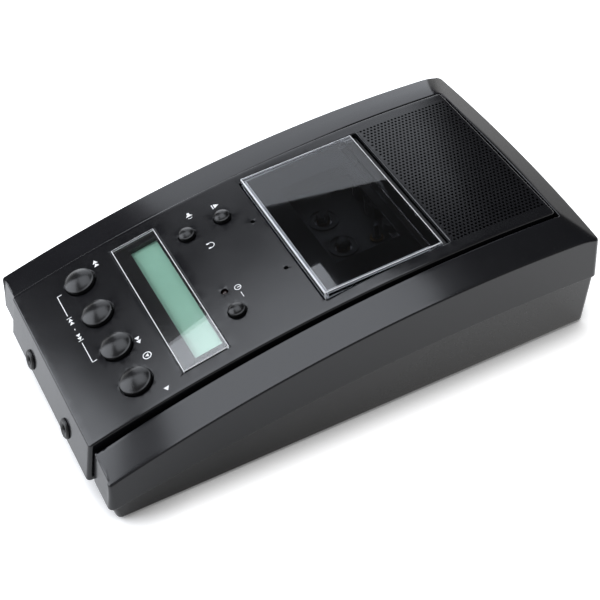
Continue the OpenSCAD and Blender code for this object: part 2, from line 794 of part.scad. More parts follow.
// Side view of the control panel, drawn in by t
module panel_profile(t) {
  top = panel_back_z + 10;
  lean = panel_lean / (panel_front_z - panel_foot_z);
  inset = t / cos(front_lean);
  low = t > 0 ? panel_foot_z - 1 : panel_foot_z;
  intersection() {
    translate(arc_c(panel_arc)) circle(r = arc_r(panel_arc) - t, $fn = arc_fn);
    polygon([[front_y + inset + (low - panel_foot_z) * lean, low], [panel_back_y - t, low],
      [panel_back_y - t, top],
      [front_y + inset + (top - panel_foot_z) * lean, top]]);
  }
}

// Frame on the ledge under one of the control panel's screw bosses
module on_ledge(p) {
  on_panel(p) translate([0, 0, -panel_skirt - ledge_gap]) children();
}

module control_panel() {
  color("#2b2b30")
    difference() {
      union() {
        difference() {
          across(panel_w) panel_profile(0);
          across(panel_w - 2 * wall) panel_profile(wall);
          difference() {
            under_arc(panel_arc, panel_skirt);
            translate([0, ledge_front - groove - big / 2, 0]) block(big, big, -big, big);
          }
        }
        intersection() {
          across(panel_w) panel_profile(0.5);
          union() {
            on_window() for (p = control_bosses) translate([p[0], p[1] - window_y, 0])
              rod(boss_r, -board_depth, 10);
            for (sx = [-1, 1]) translate([sx * (well_x + lug_w / 2), hinge_y, 0])
              block(lug_w, 2 * (hinge_pin_r + lug_wall), hinge_z - hinge_pin_r - 1.6, big);
            for (p = panel_bosses) on_ledge(p) rod(boss_r, ledge_gap, 5);
            for (p = tray_ears) if (p[1] < 0) translate(p) rod(boss_r, ear_z, big);
          }
        }
      }
      for (p = key_places) on_panel(p) rod(key_r + key_gap, -wall * 2, big);
      for (p = [source_place, eject_place, power_place]) on_panel(p) rod(button_r + key_gap, -wall * 2, big);
      on_panel([led_x, -button_row]) rod(led_r + 0.1, -wall * 2, big);
      for (sx = [-1, 1]) on_panel([sx * mic_x, -mic_row]) rod(mic_hole_r, -wall * 2, big);
      on_window() block(window_w, window_d, -wall * 2, big);
      translate([-well_x, well_front, 0]) cube([2 * well_x, well_back - well_front, big]);
      translate([0, grille_y, 0]) block(plate_w + 0.2, grille_d + 0.2, grille_z - 5, big);
      for (x = [-jack_x, jack_x]) on_front(x, jack_rise) rod(jack_neck_r + 0.1, -wall * 3, 5);
      on_window() for (p = control_bosses) translate([p[0], p[1] - window_y, 0])
        rod(small_screw_r + fit_gap, -board_depth - 1, -board_depth - board_t + small_screw_len + 0.3);
      for (p = panel_bosses) on_ledge(p) rod(small_screw_r + fit_gap, -wall, small_screw_len - wall + 0.3);
      for (p = tray_ears) if (p[1] < 0) translate(p)
        rod(small_screw_r + fit_gap, 0, ear_z - ear_t + small_screw_len + 0.2);
      translate([0, hinge_y, hinge_z]) rotate([0, 90, 0])
        cylinder(r = hinge_pin_r + run_gap, h = 2 * (well_x + lug_w + 0.5), center = true, $fn = round_fn);
    }
}

module panel_screws() {
  color("silver") for (p = panel_bosses) on_ledge(p) translate([0, 0, -wall - fit_gap])
    screw_up(small_screw_r, small_screw_len, small_head_r, small_head_h);
}

module speaker_grille() {
  cols = floor((plate_w / 2 - grille_border) / (grille_pitch * sin(60)));
  rows = floor((grille_d / 2 - grille_border) / grille_pitch);
  plate_z = grille_z - grille_t;
  screw_z = gasket_z - rim_t;
  color("#2b2b30")
    difference() {
      union() {
        translate([0, grille_y, plate_z])
          linear_extrude(height = grille_t)
            difference() {
              square([plate_w, grille_d], center = true);
              for (i = [-cols:cols], j = [-rows:rows - (abs(i) % 2)])
                translate([i * grille_pitch * sin(60), (j + (abs(i) % 2) / 2) * grille_pitch])
                  circle(r = grille_hole_r, $fn = 24);
            }
        translate([0, grille_y, 0]) difference() {
          union() {
            block(plate_w, grille_d, flange_z - rim_t, plate_z + 0.5);
            translate([0, -grille_flange / 2, 0])
              block(plate_w + 2 * grille_flange, grille_d + grille_flange, flange_z - rim_t, flange_z);
          }
          block(plate_w - 3, grille_d - 3, 0, big);
        }
        for (p = speaker_bosses) translate(p) rod(boss_r - 0.4, screw_z, plate_z + 0.5);
        for (p = tray_ears) if (p[1] > 0) translate(p) rod(boss_r, ear_z, plate_z + 0.5);
      }
      for (p = speaker_bosses) translate(p) rod(small_screw_r + fit_gap, 0, screw_z + small_screw_len - 1.5);
      for (p = tray_ears) translate(p) rod(small_screw_r + fit_gap, 0, ear_z - ear_t + small_screw_len + 0.2);
    }
}

// Domed cap with a flange and a stem, in the control panel's frame
module domed_key(r, rim, crown, y) {
  dome_r = (r * r + crown * crown) / (2 * crown);
  flange_top = -wall - flange_gap;
  stem_low = stem_bottom(y);
  union() {
    intersection() {
      rod(r, flange_top - flange_t / 2, rim + crown + 1);
      translate([0, 0, rim + crown - dome_r]) sphere(r = dome_r, $fn = 96);
    }
    rod(r, flange_top - flange_t / 2, 0.5);
    rod(r + flange_w, flange_top - flange_t, flange_top);
    rod(stem_r, stem_low, flange_top);
  }
}

module large_key(i) {
  color("#1d1d20") on_panel(key_places[i]) domed_key(key_r, key_rim, key_crown, -key_row);
}

module small_button(p) {
  color("#1d1d20") on_panel(p) domed_key(button_r, button_rim, button_crown, p[1]);
}

module rewind_key() { large_key(0); }
module search_key() { large_key(1); }
module forward_key() { large_key(2); }
module play_key() { large_key(3); }
module source_button() { small_button(source_place); }
module eject_button() { small_button(eject_place); }
module power_button() { small_button(power_place); }

module lcd_lens() {
  color("#dfe6e4", 0.35)
    on_window() block(window_w - 2 * lens_gap, window_d - 2 * lens_gap, lens_proud - lens_t, lens_proud);
}

module lcd_bezel() {
  color("#151517")
    on_window()
      difference() {
        union() {
          block(window_w + 2 * bezel_margin, window_d + 2 * bezel_margin, bezel_top - bezel_t, bezel_top);
          block(window_w - 4 * lens_gap, window_d - 4 * lens_gap, bezel_top - bezel_t, lens_proud - lens_t);
        }
        translate([0, view_y, 0]) block(view_w, view_d, -20, 20);
      }
}

module lcd_display() {
  color("#82aa96")
    on_window() translate([0, view_y, 0])
      block(view_w + 2 * bezel_margin, view_d + 2 * bezel_margin, holder_top, display_top);
}

module lcd_holder() {
  color("#d8d8d2")
    on_window() translate([0, view_y, 0])
      difference() {
        block(view_w + 2 * bezel_margin, view_d + 2 * bezel_margin, -board_depth, holder_top);
        block(view_w - 4, view_d - 2, -board_depth - 1, holder_top - 1.5);
      }
}

module power_led() {
  color("#5a1512")
    on_panel([led_x, -button_row])
      union() {
        rod(led_r, 0.2 - board_gap(-button_row), 0.2);
        rod(led_r + 0.5, 0.2 - board_gap(-button_row), 1.4 - board_gap(-button_row));
      }
}

module microphones() {
  color("#8d8f94")
    for (sx = [-1, 1]) on_panel([sx * mic_x, -mic_row])
      difference() {
        rod(mic_r, -wall - 0.1 - mic_h, -wall - 0.1);
        rod(mic_hole_r, -wall - 0.6, 0);
      }
}

module control_board() {
  color("#2f5d3a")
    on_window()
      difference() {
        translate([-control_board_w / 2, -control_board_front - window_y, -board_depth - board_t])
          cube([control_board_w, control_board_front - control_board_back, board_t]);
        for (p = control_bosses) translate([p[0], p[1] - window_y, 0]) rod(small_screw_r + 0.2, -20, 0);
      }
}

module key_switches() {
  plunger = 1.3;
  color("#3a3a3e")
    on_window() for (p = switch_places) translate([p[0], p[1] - window_y, 0])
      union() {
        block(switch_w, switch_w, -board_depth, -board_depth + switch_h - plunger);
        rod(switch_w * 0.28, -board_depth, -board_depth + switch_h);
      }
}

module control_board_screws() {
  color("silver")
    on_window() for (p = control_bosses)
      translate([p[0], p[1] - window_y, -board_depth - board_t])
        screw_up(small_screw_r, small_screw_len, small_head_r, small_head_h);
}

module main_board() {
  color("#2f5d3a")
    difference() {
      translate([-main_board_w / 2, -main_board_front, main_board_z])
        cube([main_board_w, main_board_front - main_board_back, board_t]);
      for (p = main_bosses) translate(p) rod(small_screw_r + 0.2, 0, big);
      at_corners(post_at, post_y) rod(post_r + post_gap, 0, big);
    }
}

module board_components() {
  top = main_board_z + board_t;
  front = -main_board_front;
  back = -main_board_back;
  color("#2a2a2c")
    union() {
      for (i = [0:2]) translate([chip_pitch * i - chip_x, front + chip_row, 0])
        block(chip_w, chip_d, top, top + chip_h);
      for (i = [0:3]) translate([can_pitch * i - can_x, back - can_row, 0]) rod(can_r, top, top + can_h);
      translate([coil_x, back - can_row, 0]) block(coil_w, coil_d, top, top + coil_h);
      translate([plug_x, front + plug_row, 0]) block(plug_w, plug_d, top, top + plug_h);
    }
}

module board_screws() {
  color("silver")
    for (p = main_bosses) translate([p[0], p[1], main_board_z + board_t]) mirror([0, 0, 1])
      screw_up(small_screw_r, small_screw_len - 0.3, small_head_r, small_head_h);
}

// Round socket with its collar in front of the control panel
module jack(x) {
  color("#141416")
    on_front(x, jack_rise)
      difference() {
        union() {
          rod(jack_collar_r, fit_gap, jack_proud);
          rod(jack_neck_r, -wall - 0.5, 0.5);
          block(2 * jack_neck_r + 2.6, 2 * jack_neck_r + 1.2, -jack_depth - 1, -wall - 0.1);
        }
        rod(jack_bore_r, -jack_depth, jack_proud + 1);
      }
}

module headphone_jack() { jack(-jack_x); }
module accessory_jack() { jack(jack_x); }

module power_inlet() {
  depth = 10;
  color("#141416")
    translate([-inlet_x, inlet_face, inlet_z])
      rotate([-90, 0, 0])
        difference() {
          union() {
            rod(inlet_r, -wall - 1, 0);
            block(2 * inlet_r, 2 * inlet_r + 2, -wall - depth, -wall - 0.4);
          }
          difference() {
            rod(inlet_bore_r, -depth, 1);
            rod(inlet_pin_r, -depth, -0.6);
          }
        }
}

// Screw ear that joins the tray's outer wall
module tray_ear(p) {
  back = p[1] > 0;
  edge = back ? well_back + tray_wall / 2 : well_front - tray_wall / 2;
  translate(p) rod(ear_r, ear_z - ear_t, ear_z);
  translate([p[0], (p[1] + edge) / 2, 0]) block(2 * ear_r, abs(p[1] - edge), ear_z - ear_t, ear_z);
}

module deck_tray() {
  outer_x = well_x + tray_wall;
  outer_d = well_back - well_front + 2 * tray_wall;
  latch_slot = latch_w + 0.6;
  color("#18181b")
    difference() {
      union() {
        intersection() {
          difference() {
            translate([-outer_x, well_front - tray_wall, deck_z - tray_floor])
              cube([2 * outer_x, outer_d, big]);
            translate([-well_x, well_front, deck_z]) cube([2 * well_x, well_back - well_front, big]);
          }
          under_arc(panel_arc, wall + 0.1);
        }
        for (p = tray_bosses) translate(p) rod(3.4, deck_z - 0.5, deck_z + tray_boss_h);
        for (p = tray_ears) tray_ear(p);
        for (p = [supply, take_up]) translate(p) tube(6.8, 6, deck_z - 0.5, deck_z + 0.8);
      }
      for (p = [supply, take_up]) translate(p) rod(spindle_r + 1, 0, big);
      translate(capstan) rod(bearing_r + 0.3, 0, big);
      translate(pinch_pivot) rod(pinch_pivot_r + 0.3, 0, big);
      for (p = tray_bosses) translate(p) rod(small_screw_r + fit_gap, 0, chassis_z + small_screw_len + 0.3);
      for (p = tray_ears) translate(p) rod(small_screw_r + 0.2, 0, big);
      translate(motor_place) rod(motor_boss_r + 0.3, 0, deck_z - tray_floor + 0.2);
      translate([-latch_x, well_front, 0])
        block(latch_slot, 4 * tray_wall, latch_z - 0.3, latch_z + latch_t + 0.3);
      for (sx = [-1, 1]) translate([sx * (well_x + tray_wall / 2), hinge_y, 0])
        block(tray_wall + 1, 2 * (hinge_pin_r + lug_wall + lug_gap), hinge_z - hinge_pin_r - 1.9, big);
    }
}

module deck_chassis() {
  color("#b9bcc0")
    difference() {
      union() {
        translate([-chassis_w / 2, well_front + 1, chassis_z])
          cube([chassis_w, well_back - well_front - 2, chassis_t]);
        translate(idler) rod(motor_shaft_r, turntable_z - 1, chassis_z + 0.5);
        translate(idler) rod(motor_shaft_r + 1, turntable_z - 2.2, turntable_z - 1);
        translate(pinch_pivot) rod(pinch_pivot_r, chassis_z, deck_z + pinch_pivot_h);
      }
      translate(capstan) rod(bearing_r + fit_gap, 0, big);
      translate(motor_place) rod(motor_boss_r + fit_gap, 0, big);
      for (p = [supply, take_up]) translate(p) rod(spindle_shaft_r + 1.5 + fit_gap, 0, big);
      for (p = tray_bosses) translate(p) rod(small_screw_r + 0.2, 0, big);
    }
}

module deck_screws() {
  color("silver")
    union() {
      for (p = tray_bosses) translate([p[0], p[1], chassis_z])
        screw_up(small_screw_r, small_screw_len, small_head_r, small_head_h);
      for (p = tray_ears) translate([p[0], p[1], ear_z - ear_t])
        screw_up(small_screw_r, small_screw_len, small_head_r, small_head_h);
    }
}

module drive_motor() {
  low = chassis_z - motor_l;
  color("#c4c7ca")
    translate(motor_place)
      difference() {
        union() {
          rod(motor_r, low, chassis_z);
          rod(motor_boss_r, low, chassis_z + chassis_t);
          rod(motor_boss_r, low - 1.4, low + 0.5);
        }
        rod(motor_shaft_r + run_gap, low - 3, low + 8);
      }
}

module motor_pulley() {
  low = chassis_z - motor_l;
  color("#c9b26a")
    translate(motor_place)
      union() {
        rod(motor_shaft_r, flywheel_z - 1, low + 7);
        difference() {
          rod(pulley_r, flywheel_z, flywheel_z + flywheel_t);
          tube(pulley_r + 1, pulley_groove_r, belt_z - 0.6, belt_z + belt_w + 0.6);
        }
      }
}

// Outline of an open belt round two wheels, with radii r1 and r2 to its own line
module belt_outline(a, r1, b, r2) {
  d = norm(b - a);
  u = (b - a) / d;
  lean = asin((r1 - r2) / d);
  n1 = [for (s = [-1, 1]) u * sin(lean) + s * [-u[1], u[0]] * cos(lean)];
  translate(a) circle(r = r1, $fn = round_fn);
  translate(b) circle(r = r2, $fn = round_fn);
  polygon([a + n1[0] * r1, b + n1[0] * r2, b + n1[1] * r2, a + n1[1] * r1]);
}

module drive_belt() {
  belt_r1 = pulley_groove_r + wheel_gap;
  belt_r2 = flywheel_groove_r + wheel_gap;
  color("#101012")
    translate([0, 0, belt_z])
      linear_extrude(height = belt_w)
        difference() {
          belt_outline(motor_place, belt_r1 + belt_w, capstan, belt_r2 + belt_w);
          belt_outline(motor_place, belt_r1, capstan, belt_r2);
        }
}

module flywheel() {
  color("#c9b26a")
    translate(capstan)
      difference() {
        union() {
          rod(flywheel_r, flywheel_z, flywheel_z + flywheel_t);
          rod(hub_r + 1, flywheel_z - 1, flywheel_z + flywheel_t + 2);
        }
        tube(flywheel_r + 1, flywheel_groove_r, belt_z - 0.6, belt_z + belt_w + 0.6);
        tube(flywheel_r - 4, hub_r + 3, flywheel_z + flywheel_t - 1.2, big);
        rod(capstan_r + 0.01, 0, big);
      }
}

module capstan_shaft() {
  color("#d6d8da")
    translate(capstan)
      union() {
        rod(capstan_r, thrust_z - thrust_depth, deck_z + capstan_h);
        rod(hub_r, turntable_z, turntable_z + turntable_t);
        rod(capstan_r + 0.8, deck_z + 0.9, deck_z + 1.7);
      }
}

module capstan_bearing() {
  color("#c9b26a") translate(capstan) tube(bearing_r, capstan_r + run_gap, chassis_z - 1, deck_z + 0.6);
}

module idler_wheel() {
  color("#202022")
    translate(idler)
      difference() {
        tube(idler_r, motor_shaft_r + run_gap, turntable_z + 0.4, turntable_z + turntable_t - 0.4);
        tube(idler_r - 1.2, motor_shaft_r + 1.2, turntable_z + turntable_t - 0.9, big);
      }
}

// Reel turntable under the chassis with its splined head above the deck's floor
module spindle(p) {
  color("#2c2c30")
    translate(p)
      union() {
        rod(turntable_r, turntable_z, turntable_z + turntable_t);
        rod(spindle_shaft_r, turntable_z, deck_z + spindle_h);
        rod(spindle_r - 0.8, deck_z + 0.6, deck_z + spindle_h - 0.8);
        for (a = [0:60:300]) rotate([0, 0, a]) translate([spindle_r / 2, 0, 0])
          block(spindle_r, 0.8, deck_z + 0.6, deck_z + spindle_h - 0.8);
      }
}

module supply_spindle() { spindle(supply); }
module take_up_spindle() { spindle(take_up); }

module spindle_bushes() {
  color("#c9b26a")
    for (p = [supply, take_up]) translate(p)
      tube(spindle_shaft_r + 1.5, spindle_shaft_r + run_gap, chassis_z - 1, deck_z + 0.2);
}

// Metal head block with a round face to the tape
module head_block(w, h, depth) {
  difference() {
    union() {
      translate([0, depth / 2 + 1.4, 0]) block(w, depth, deck_z, deck_z + h);
      intersection() {
        translate([0, 8, 0]) rod(8, deck_z, deck_z + h);
        block(w, 6, 0, big);
      }
    }
    block(0.3, 1, deck_z + 1.5, deck_z + h - 1);
  }
}

module tape_head() {
  color("#a9adb1") translate([-3, head_row, 0]) head_block(head_w, head_h, 7);
}

module erase_head() {
  color("#8e9296") translate([-16, head_row + 0.8, 0]) head_block(head_w * 0.7, head_h, 6);
}

module pinch_arm() {
  color("#b9bcc0")
    difference() {
      union() {
        translate([0, 0, pinch_z - 1.6]) linear_extrude(height = 1.2) {
          translate(pinch_pivot) circle(r = pinch_pivot_r + 2, $fn = round_fn);
          translate(pinch) circle(r = 2.4, $fn = round_fn);
          translate([pinch[0], pinch[1] - 2.4]) square([pinch_arm_l, 4.8]);
        }
        translate(pinch) rod(1, pinch_z - 1, pinch_z + pinch_h + 0.6);
      }
      translate(pinch_pivot) rod(pinch_pivot_r + run_gap, 0, big);
    }
}

module pinch_roller() {
  color("#19191b") translate(pinch) tube(pinch_r, 1 + run_gap, pinch_z, pinch_z + pinch_h);
}

// Side view of the door, with its back edge round about the hinge
module door_profile() {
  intersection() {
    translate([-door_front, door_front_z]) rotate(door_pitch)
      translate([0, -door_rim]) square([door_l, door_rim]);
    union() {
      translate([-big, 0]) square([big + hinge_y, big]);
      translate([hinge_y, hinge_z]) circle(r = door_back_r, $fn = 96);
    }
  }
  translate([hinge_y, hinge_z]) circle(r = hinge_pin_r + 1.5, $fn = round_fn);
}

module door_cover() {
  color("#cfd6d8", 0.35)
    difference() {
      across(door_w) door_profile();
      across(door_w - 2 * door_wall)
        translate([-door_front, door_front_z]) rotate(door_pitch)
          translate([door_wall, -big]) square([big, big - door_t]);
      translate([0, hinge_y, hinge_z]) rotate([0, 90, 0])
        cylinder(r = hinge_pin_r + 0.01, h = 2 * door_w, center = true, $fn = round_fn);
    }
}

module cassette_carrier() {
  inner_w = door_w - 2 * door_wall - 0.4;
  back = hinge_y - hinge_pin_r - 2;
  front = -door_front + door_wall + 0.2;
  rail_front = carrier_window_front - 4;
  rail_low = -door_t - carrier_t - rail_h;
  catch_y = 0.6;
  catch_low = deck_z + tray_boss_h + 0.5 - door_front_z;
  color("#161618")
    on_door() translate([0, door_front, 0])
      union() {
        difference() {
          translate([-inner_w / 2, front, -door_t - carrier_t]) cube([inner_w, back - front, carrier_t]);
          translate([-carrier_window_w / 2, carrier_window_front, -big / 2])
            cube([carrier_window_w, carrier_window_d, big]);
        }
        for (sx = [-1, 1]) {
          translate([sx * (rail_x + rail_t / 2), (rail_front + back) / 2, 0])
            block(rail_t, back - rail_front, rail_low, -door_t - carrier_t + 0.3);
          translate([sx * (rail_x + rail_t / 2 - rail_lip / 2), (rail_front + back) / 2, 0])
            block(rail_t + rail_lip, back - rail_front, rail_low, rail_low + 1.2);
        }
        translate([-latch_x, catch_y, 0]) block(latch_w - 0.6, 1.6, catch_low, -door_t - carrier_t + 0.3);
      }
}

module hinge_pins() {
  color("silver")
    for (sx = [-1, 1]) translate([sx * (door_w / 2 - door_wall / 2 + 1.9), hinge_y, hinge_z])
      rotate([0, 90, 0]) cylinder(r = hinge_pin_r, h = door_wall + 3.8, center = true, $fn = round_fn);
}

module door_latch() {
  color("#1d1d20")
    translate([-latch_x, 0, 0])
      union() {
        translate([0, (well_front + 2 - eject_row - latch_reach) / 2, 0])
          block(latch_w, eject_row + latch_reach + well_front + 2, latch_z, latch_z + latch_t);
        translate([0, -eject_row - 2.5, 0]) block(latch_w, 3, latch_z - 3, latch_z + latch_t);
      }
}

module speaker_basket() {
  color("#7d8085")
    translate([0, grille_y, 0])
      difference() {
        union() {
          rod(speaker_r, gasket_z - rim_t, gasket_z);
          rod(speaker_r - 3, basket_z, gasket_z - 1);
        }
        rod(speaker_r - 4.2, basket_z + 1.2, big);
        rod(7, 0, big);
        for (a = [0:60:300]) rotate([0, 0, a + 30]) translate([speaker_r - 5, 0, 0])
          block(12, 7, basket_z + 3, gasket_z - 3);
      }
}

module speaker_cone() {
  rim = speaker_r - 4.6;
  color("#1b1b1d")
    translate([0, grille_y, 0])
      rotate_extrude($fn = 96)
        polygon([[0, basket_z + 2.2], [5, basket_z + 2.2], [rim - 2, gasket_z - 2], [rim, gasket_z - 2],
          [rim, gasket_z - 1.2], [rim - 2.4, gasket_z - 1.2], [5, basket_z + 3.2], [0, basket_z + 4.6]]);
}

module speaker_magnet() {
  color("#55585c")
    translate([0, grille_y, 0])
      union() {
        rod(magnet_r, basket_z - magnet_t, basket_z);
        rod(6, basket_z - 1, basket_z + 1.9);
      }
}

module speaker_screws() {
  color("silver") for (p = speaker_bosses) translate([p[0], p[1], gasket_z - rim_t])
    screw_up(small_screw_r, small_screw_len - 1.8, small_head_r + 0.4, small_head_h);
}

module speaker_gasket() {
  color("#2a2a2a") translate([0, grille_y, 0]) tube(speaker_r, speaker_r - 3, gasket_z, gasket_z + gasket_t);
}

module case_screws() {
  color("silver")
    for (sx = [-1, 1], sy = [-1, 1]) translate([sx * post_at, sy * post_y, post_z(sy) - post_web])
      screw_up(screw_r, screw_len, screw_head_r, screw_head_h);
}

module rubber_feet() {
  color("#141414") at_corners(foot_x, foot_y) rod(foot_r, 0, foot_h + foot_seat);
}

lower_housing();
upper_case();
control_panel();
speaker_grille();
rewind_key();
search_key();
forward_key();
play_key();
source_button();
eject_button();
power_button();
lcd_lens();
lcd_bezel();
lcd_display();
lcd_holder();
power_led();
microphones();
control_board();
key_switches();
control_board_screws();
main_board();
board_components();
board_screws();
headphone_jack();
accessory_jack();
power_inlet();
deck_tray();
deck_chassis();
deck_screws();
drive_motor();
motor_pulley();
drive_belt();
flywheel();
capstan_shaft();
capstan_bearing();
idler_wheel();
supply_spindle();
take_up_spindle();
spindle_bushes();
tape_head();
erase_head();
pinch_arm();
pinch_roller();
door_cover();
cassette_carrier();
hinge_pins();
door_latch();
speaker_basket();
speaker_cone();
speaker_magnet();
speaker_gasket();
speaker_screws();
panel_screws();
case_screws();
rubber_feet();
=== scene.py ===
"""Desktop dictation machine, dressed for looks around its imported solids.

Sizes of the machine are in millimetres, in the frame of the solids. The stage and all meshes are in metres.
"""

import json
import math

import bmesh
import bpy
import numpy as np
from bpy.props import FloatProperty, FloatVectorProperty, PointerProperty
from mathutils import Matrix, Vector
from mathutils.geometry import delaunay_2d_cdt

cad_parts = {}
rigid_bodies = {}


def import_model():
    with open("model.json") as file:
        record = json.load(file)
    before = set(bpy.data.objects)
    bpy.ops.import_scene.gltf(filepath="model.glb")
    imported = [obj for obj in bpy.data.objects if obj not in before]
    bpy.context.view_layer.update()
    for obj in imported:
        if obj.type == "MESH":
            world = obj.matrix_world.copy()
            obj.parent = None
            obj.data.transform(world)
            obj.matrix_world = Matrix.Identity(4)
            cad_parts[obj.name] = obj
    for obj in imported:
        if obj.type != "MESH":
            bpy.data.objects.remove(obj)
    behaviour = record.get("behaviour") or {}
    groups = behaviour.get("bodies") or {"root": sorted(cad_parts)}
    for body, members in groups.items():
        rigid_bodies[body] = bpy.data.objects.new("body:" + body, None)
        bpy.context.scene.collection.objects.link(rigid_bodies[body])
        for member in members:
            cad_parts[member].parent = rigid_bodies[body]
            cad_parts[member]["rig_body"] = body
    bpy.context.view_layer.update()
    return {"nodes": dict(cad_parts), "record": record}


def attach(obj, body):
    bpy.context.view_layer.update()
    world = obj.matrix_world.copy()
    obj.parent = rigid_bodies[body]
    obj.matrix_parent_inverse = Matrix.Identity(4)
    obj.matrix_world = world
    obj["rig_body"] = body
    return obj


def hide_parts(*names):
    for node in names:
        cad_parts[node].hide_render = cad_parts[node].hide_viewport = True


bl_info = {
    "name": "Desktop Dictation Machine",
    "version": (1, 0, 0),
    "blender": (4, 5, 0),
    "location": "View3D > Sidebar > Dictation",
    "description": "Builds the mouldings, keys, door, signs and finishes of a desktop dictation machine",
    "category": "Add Mesh",
}

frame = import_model()
MM = 0.001
SMOOTH_LIMIT, BEVEL_LIMIT, FLAT_LIMIT = math.radians(32), math.radians(38), math.radians(0.6)
WELD = 3e-6
NORMAL_WEIGHT = 80
CASE_BODY = "case"
ACRYLIC_IOR = 1.49

# Upper case

CASE_HALF, CASE_FRONT, CASE_BACK = 67.4, -113.4, 116.0
CASE_BOW, CASE_CORNER, CASE_REF_Z = 1.5, 3.0, 11.8
SIDE_DRAFT, FRONT_LEAN = math.radians(1.5), math.radians(10.5)
ROOF_R, ROOF_YAW, ROOF_TILT = 520.0, math.radians(-24), math.radians(9.8)
ROOF_Y, ROOF_Z = 26.0, 51.9
OPENING_HALF, OPENING_BACK, OPENING_CORNER = 49.6, 105.0, 1.2
BRIDGE_DROP, BRIDGE_SOFT, SHOULDER_SOFT = 0.6, 0.8, 2.0
BACK_FALL, BACK_R, BACK_Z = math.radians(24.5), 1300.0, 56.0
PARTING_BACK, PARTING_RISE = 114.5, 7.5
WALL, LEDGE_WIDE, UNDER_WIDE, INSIDE_RISE = 2.4, 5.0, 2.2, 4.0
LIP_R, TUCK_R = 0.7, 0.5
MATCH_FRONT, MATCH_CORNER, MATCH_BACK = 9.0, OPENING_BACK - 6.0, OPENING_HALF - 2.0

# Lower housing

BASE_LOW, BASE_HALF, BASE_FRONT, BASE_BACK, BASE_TOP_Z = 1.0, 65.73, -112.2, 114.8, 29.6
BASE_DRAFT, BASE_LEAN = math.radians(4.4), math.radians(10.0)
BASE_CORNER, BASE_BOW, BASE_TUCK = 2.4, 0.8, 0.3
BASE_TOP_FRONT, BASE_TOP_BACK = BASE_FRONT + 0.5, BASE_BACK - 1.5
BASE_STRAIGHT = (52.0, 100.0)
BASE_SCREWS = [(x, y) for x in (-57.5, 57.5) for y in (-98.0, 98.0)]
RECESS_R, RECESS_DEEP = 3.1, 4.0
INLET_AT, INLET_HOLE, INLET_PATCH = (-40.0, 14.0), 4.5, (12.1, 8.5)

# Control panel and what sits in it. An opening is its middle's x and y, half width and half length.

PANEL_HALF, PANEL_FRONT, PANEL_BACK, PANEL_CORNER = 48.2, -111.9, 103.6, 1.8
PANEL_FRONT_Z, PANEL_BACK_Z, PANEL_RISE = 31.0, 56.6, 8.9
PANEL_FOOT_Z, PANEL_LEAN, PANEL_SKIRT = 12.1, 4.1, 10.0
FRONT_SLOPE = PANEL_LEAN / (PANEL_FRONT_Z - PANEL_FOOT_Z)
LEAN_FROM, LEAN_RUN = -103.0, 6.5
KEY_ROW, KEY_PITCH, KEY_MIDDLE, KEY_R, KEY_RIM, KEY_GAP = -84.0, 21.8, -0.9, 6.8, 1.5, 0.35
KEYS = {name: (KEY_MIDDLE + (i - 1.5) * KEY_PITCH, KEY_ROW)
        for i, name in enumerate(("rewind_key", "search_key", "forward_key", "play_key"))}
BUTTON_R, BUTTON_RIM, BUTTON_CROWN, BUTTON_ROUND = 3.7, 1.4, 1.3, 0.5
BUTTONS = {"source_button": (-27.0, -35.2), "eject_button": (-27.0, -18.1), "power_button": (25.5, -35.2)}
SIDE_TOP, FLANGE_TOP, FLANGE_LOW, FLANGE_OUT, STEM_R = 0.2, -2.6, -3.8, 1.0, 2.0
BOARD_DROP, SWITCH_HIGH, KEY_TRAVEL, SWITCH_GAP = 13.2, 4.8, 1.2, 0.5
LAMP_AT, LAMP_HOLE = (12.6, -35.2), 1.6
LAMP_DOME = [(0, -0.45), (0.5, -0.5), (0.9, -0.68), (1.15, -0.95), (1.2, -1.3), (1.2, -4.5), (0, -4.5)]
MICS_AT, MIC_HOLE = ((-16.5, -8.2), (16.5, -8.2)), 1.0
WINDOW, WINDOW_CORNER = (0.0, -56.05, 40.8, 10.65), 0.8
DOOR_OPENING, DOOR_CORNER = (0.0, 26.4, 41.9, 29.6), 1.0
GRILLE, GRILLE_MARGIN, GRILLE_DEEP, GRILLE_SIDES = (0.0, 79.75, 42.4, 22.2), 0.6, 1.6, 12
GRILLE_REACH, GRILLE_STRETCH = (22, 13), 1.046
LOOSE_STEP, LOOSE_CLEAR, LOOSE_X, LOOSE_Y = 4.0, 1.2, (-46.0, 46.1), (-109.0, 102.0)
JACKS = {"headphone_jack": -22.0, "accessory_jack": 22.0}
JACK_RISE, JACK_R, JACK_COLLAR, JACK_BORE, JACK_DEEP = 5.2, 3.3, 4.5, 1.8, 12.5
COLLAR_ROUND, COLLAR_LIFT, JACK_PLAY, JACK_FLOOR = 1.0, 0.05, 0.1, 1.0
INK_DEEP, INK_HIGH, STROKE = 0.08, 0.05, 0.32

# Solids whose edges are rounded, with the width of the rounding

PLAIN_COPIES = {"deck_tray": 0.3, "power_inlet": 0.3, "door_latch": 0.2, "supply_spindle": 0.15,
                "take_up_spindle": 0.15, "tape_head": 0.2, "erase_head": 0.2, "pinch_arm": 0.15,
                "pinch_roller": 0.25, "rubber_feet": 0.3}

# Stage. A softbox is its name, the setting of its power, its place, what it is aimed at and its size.

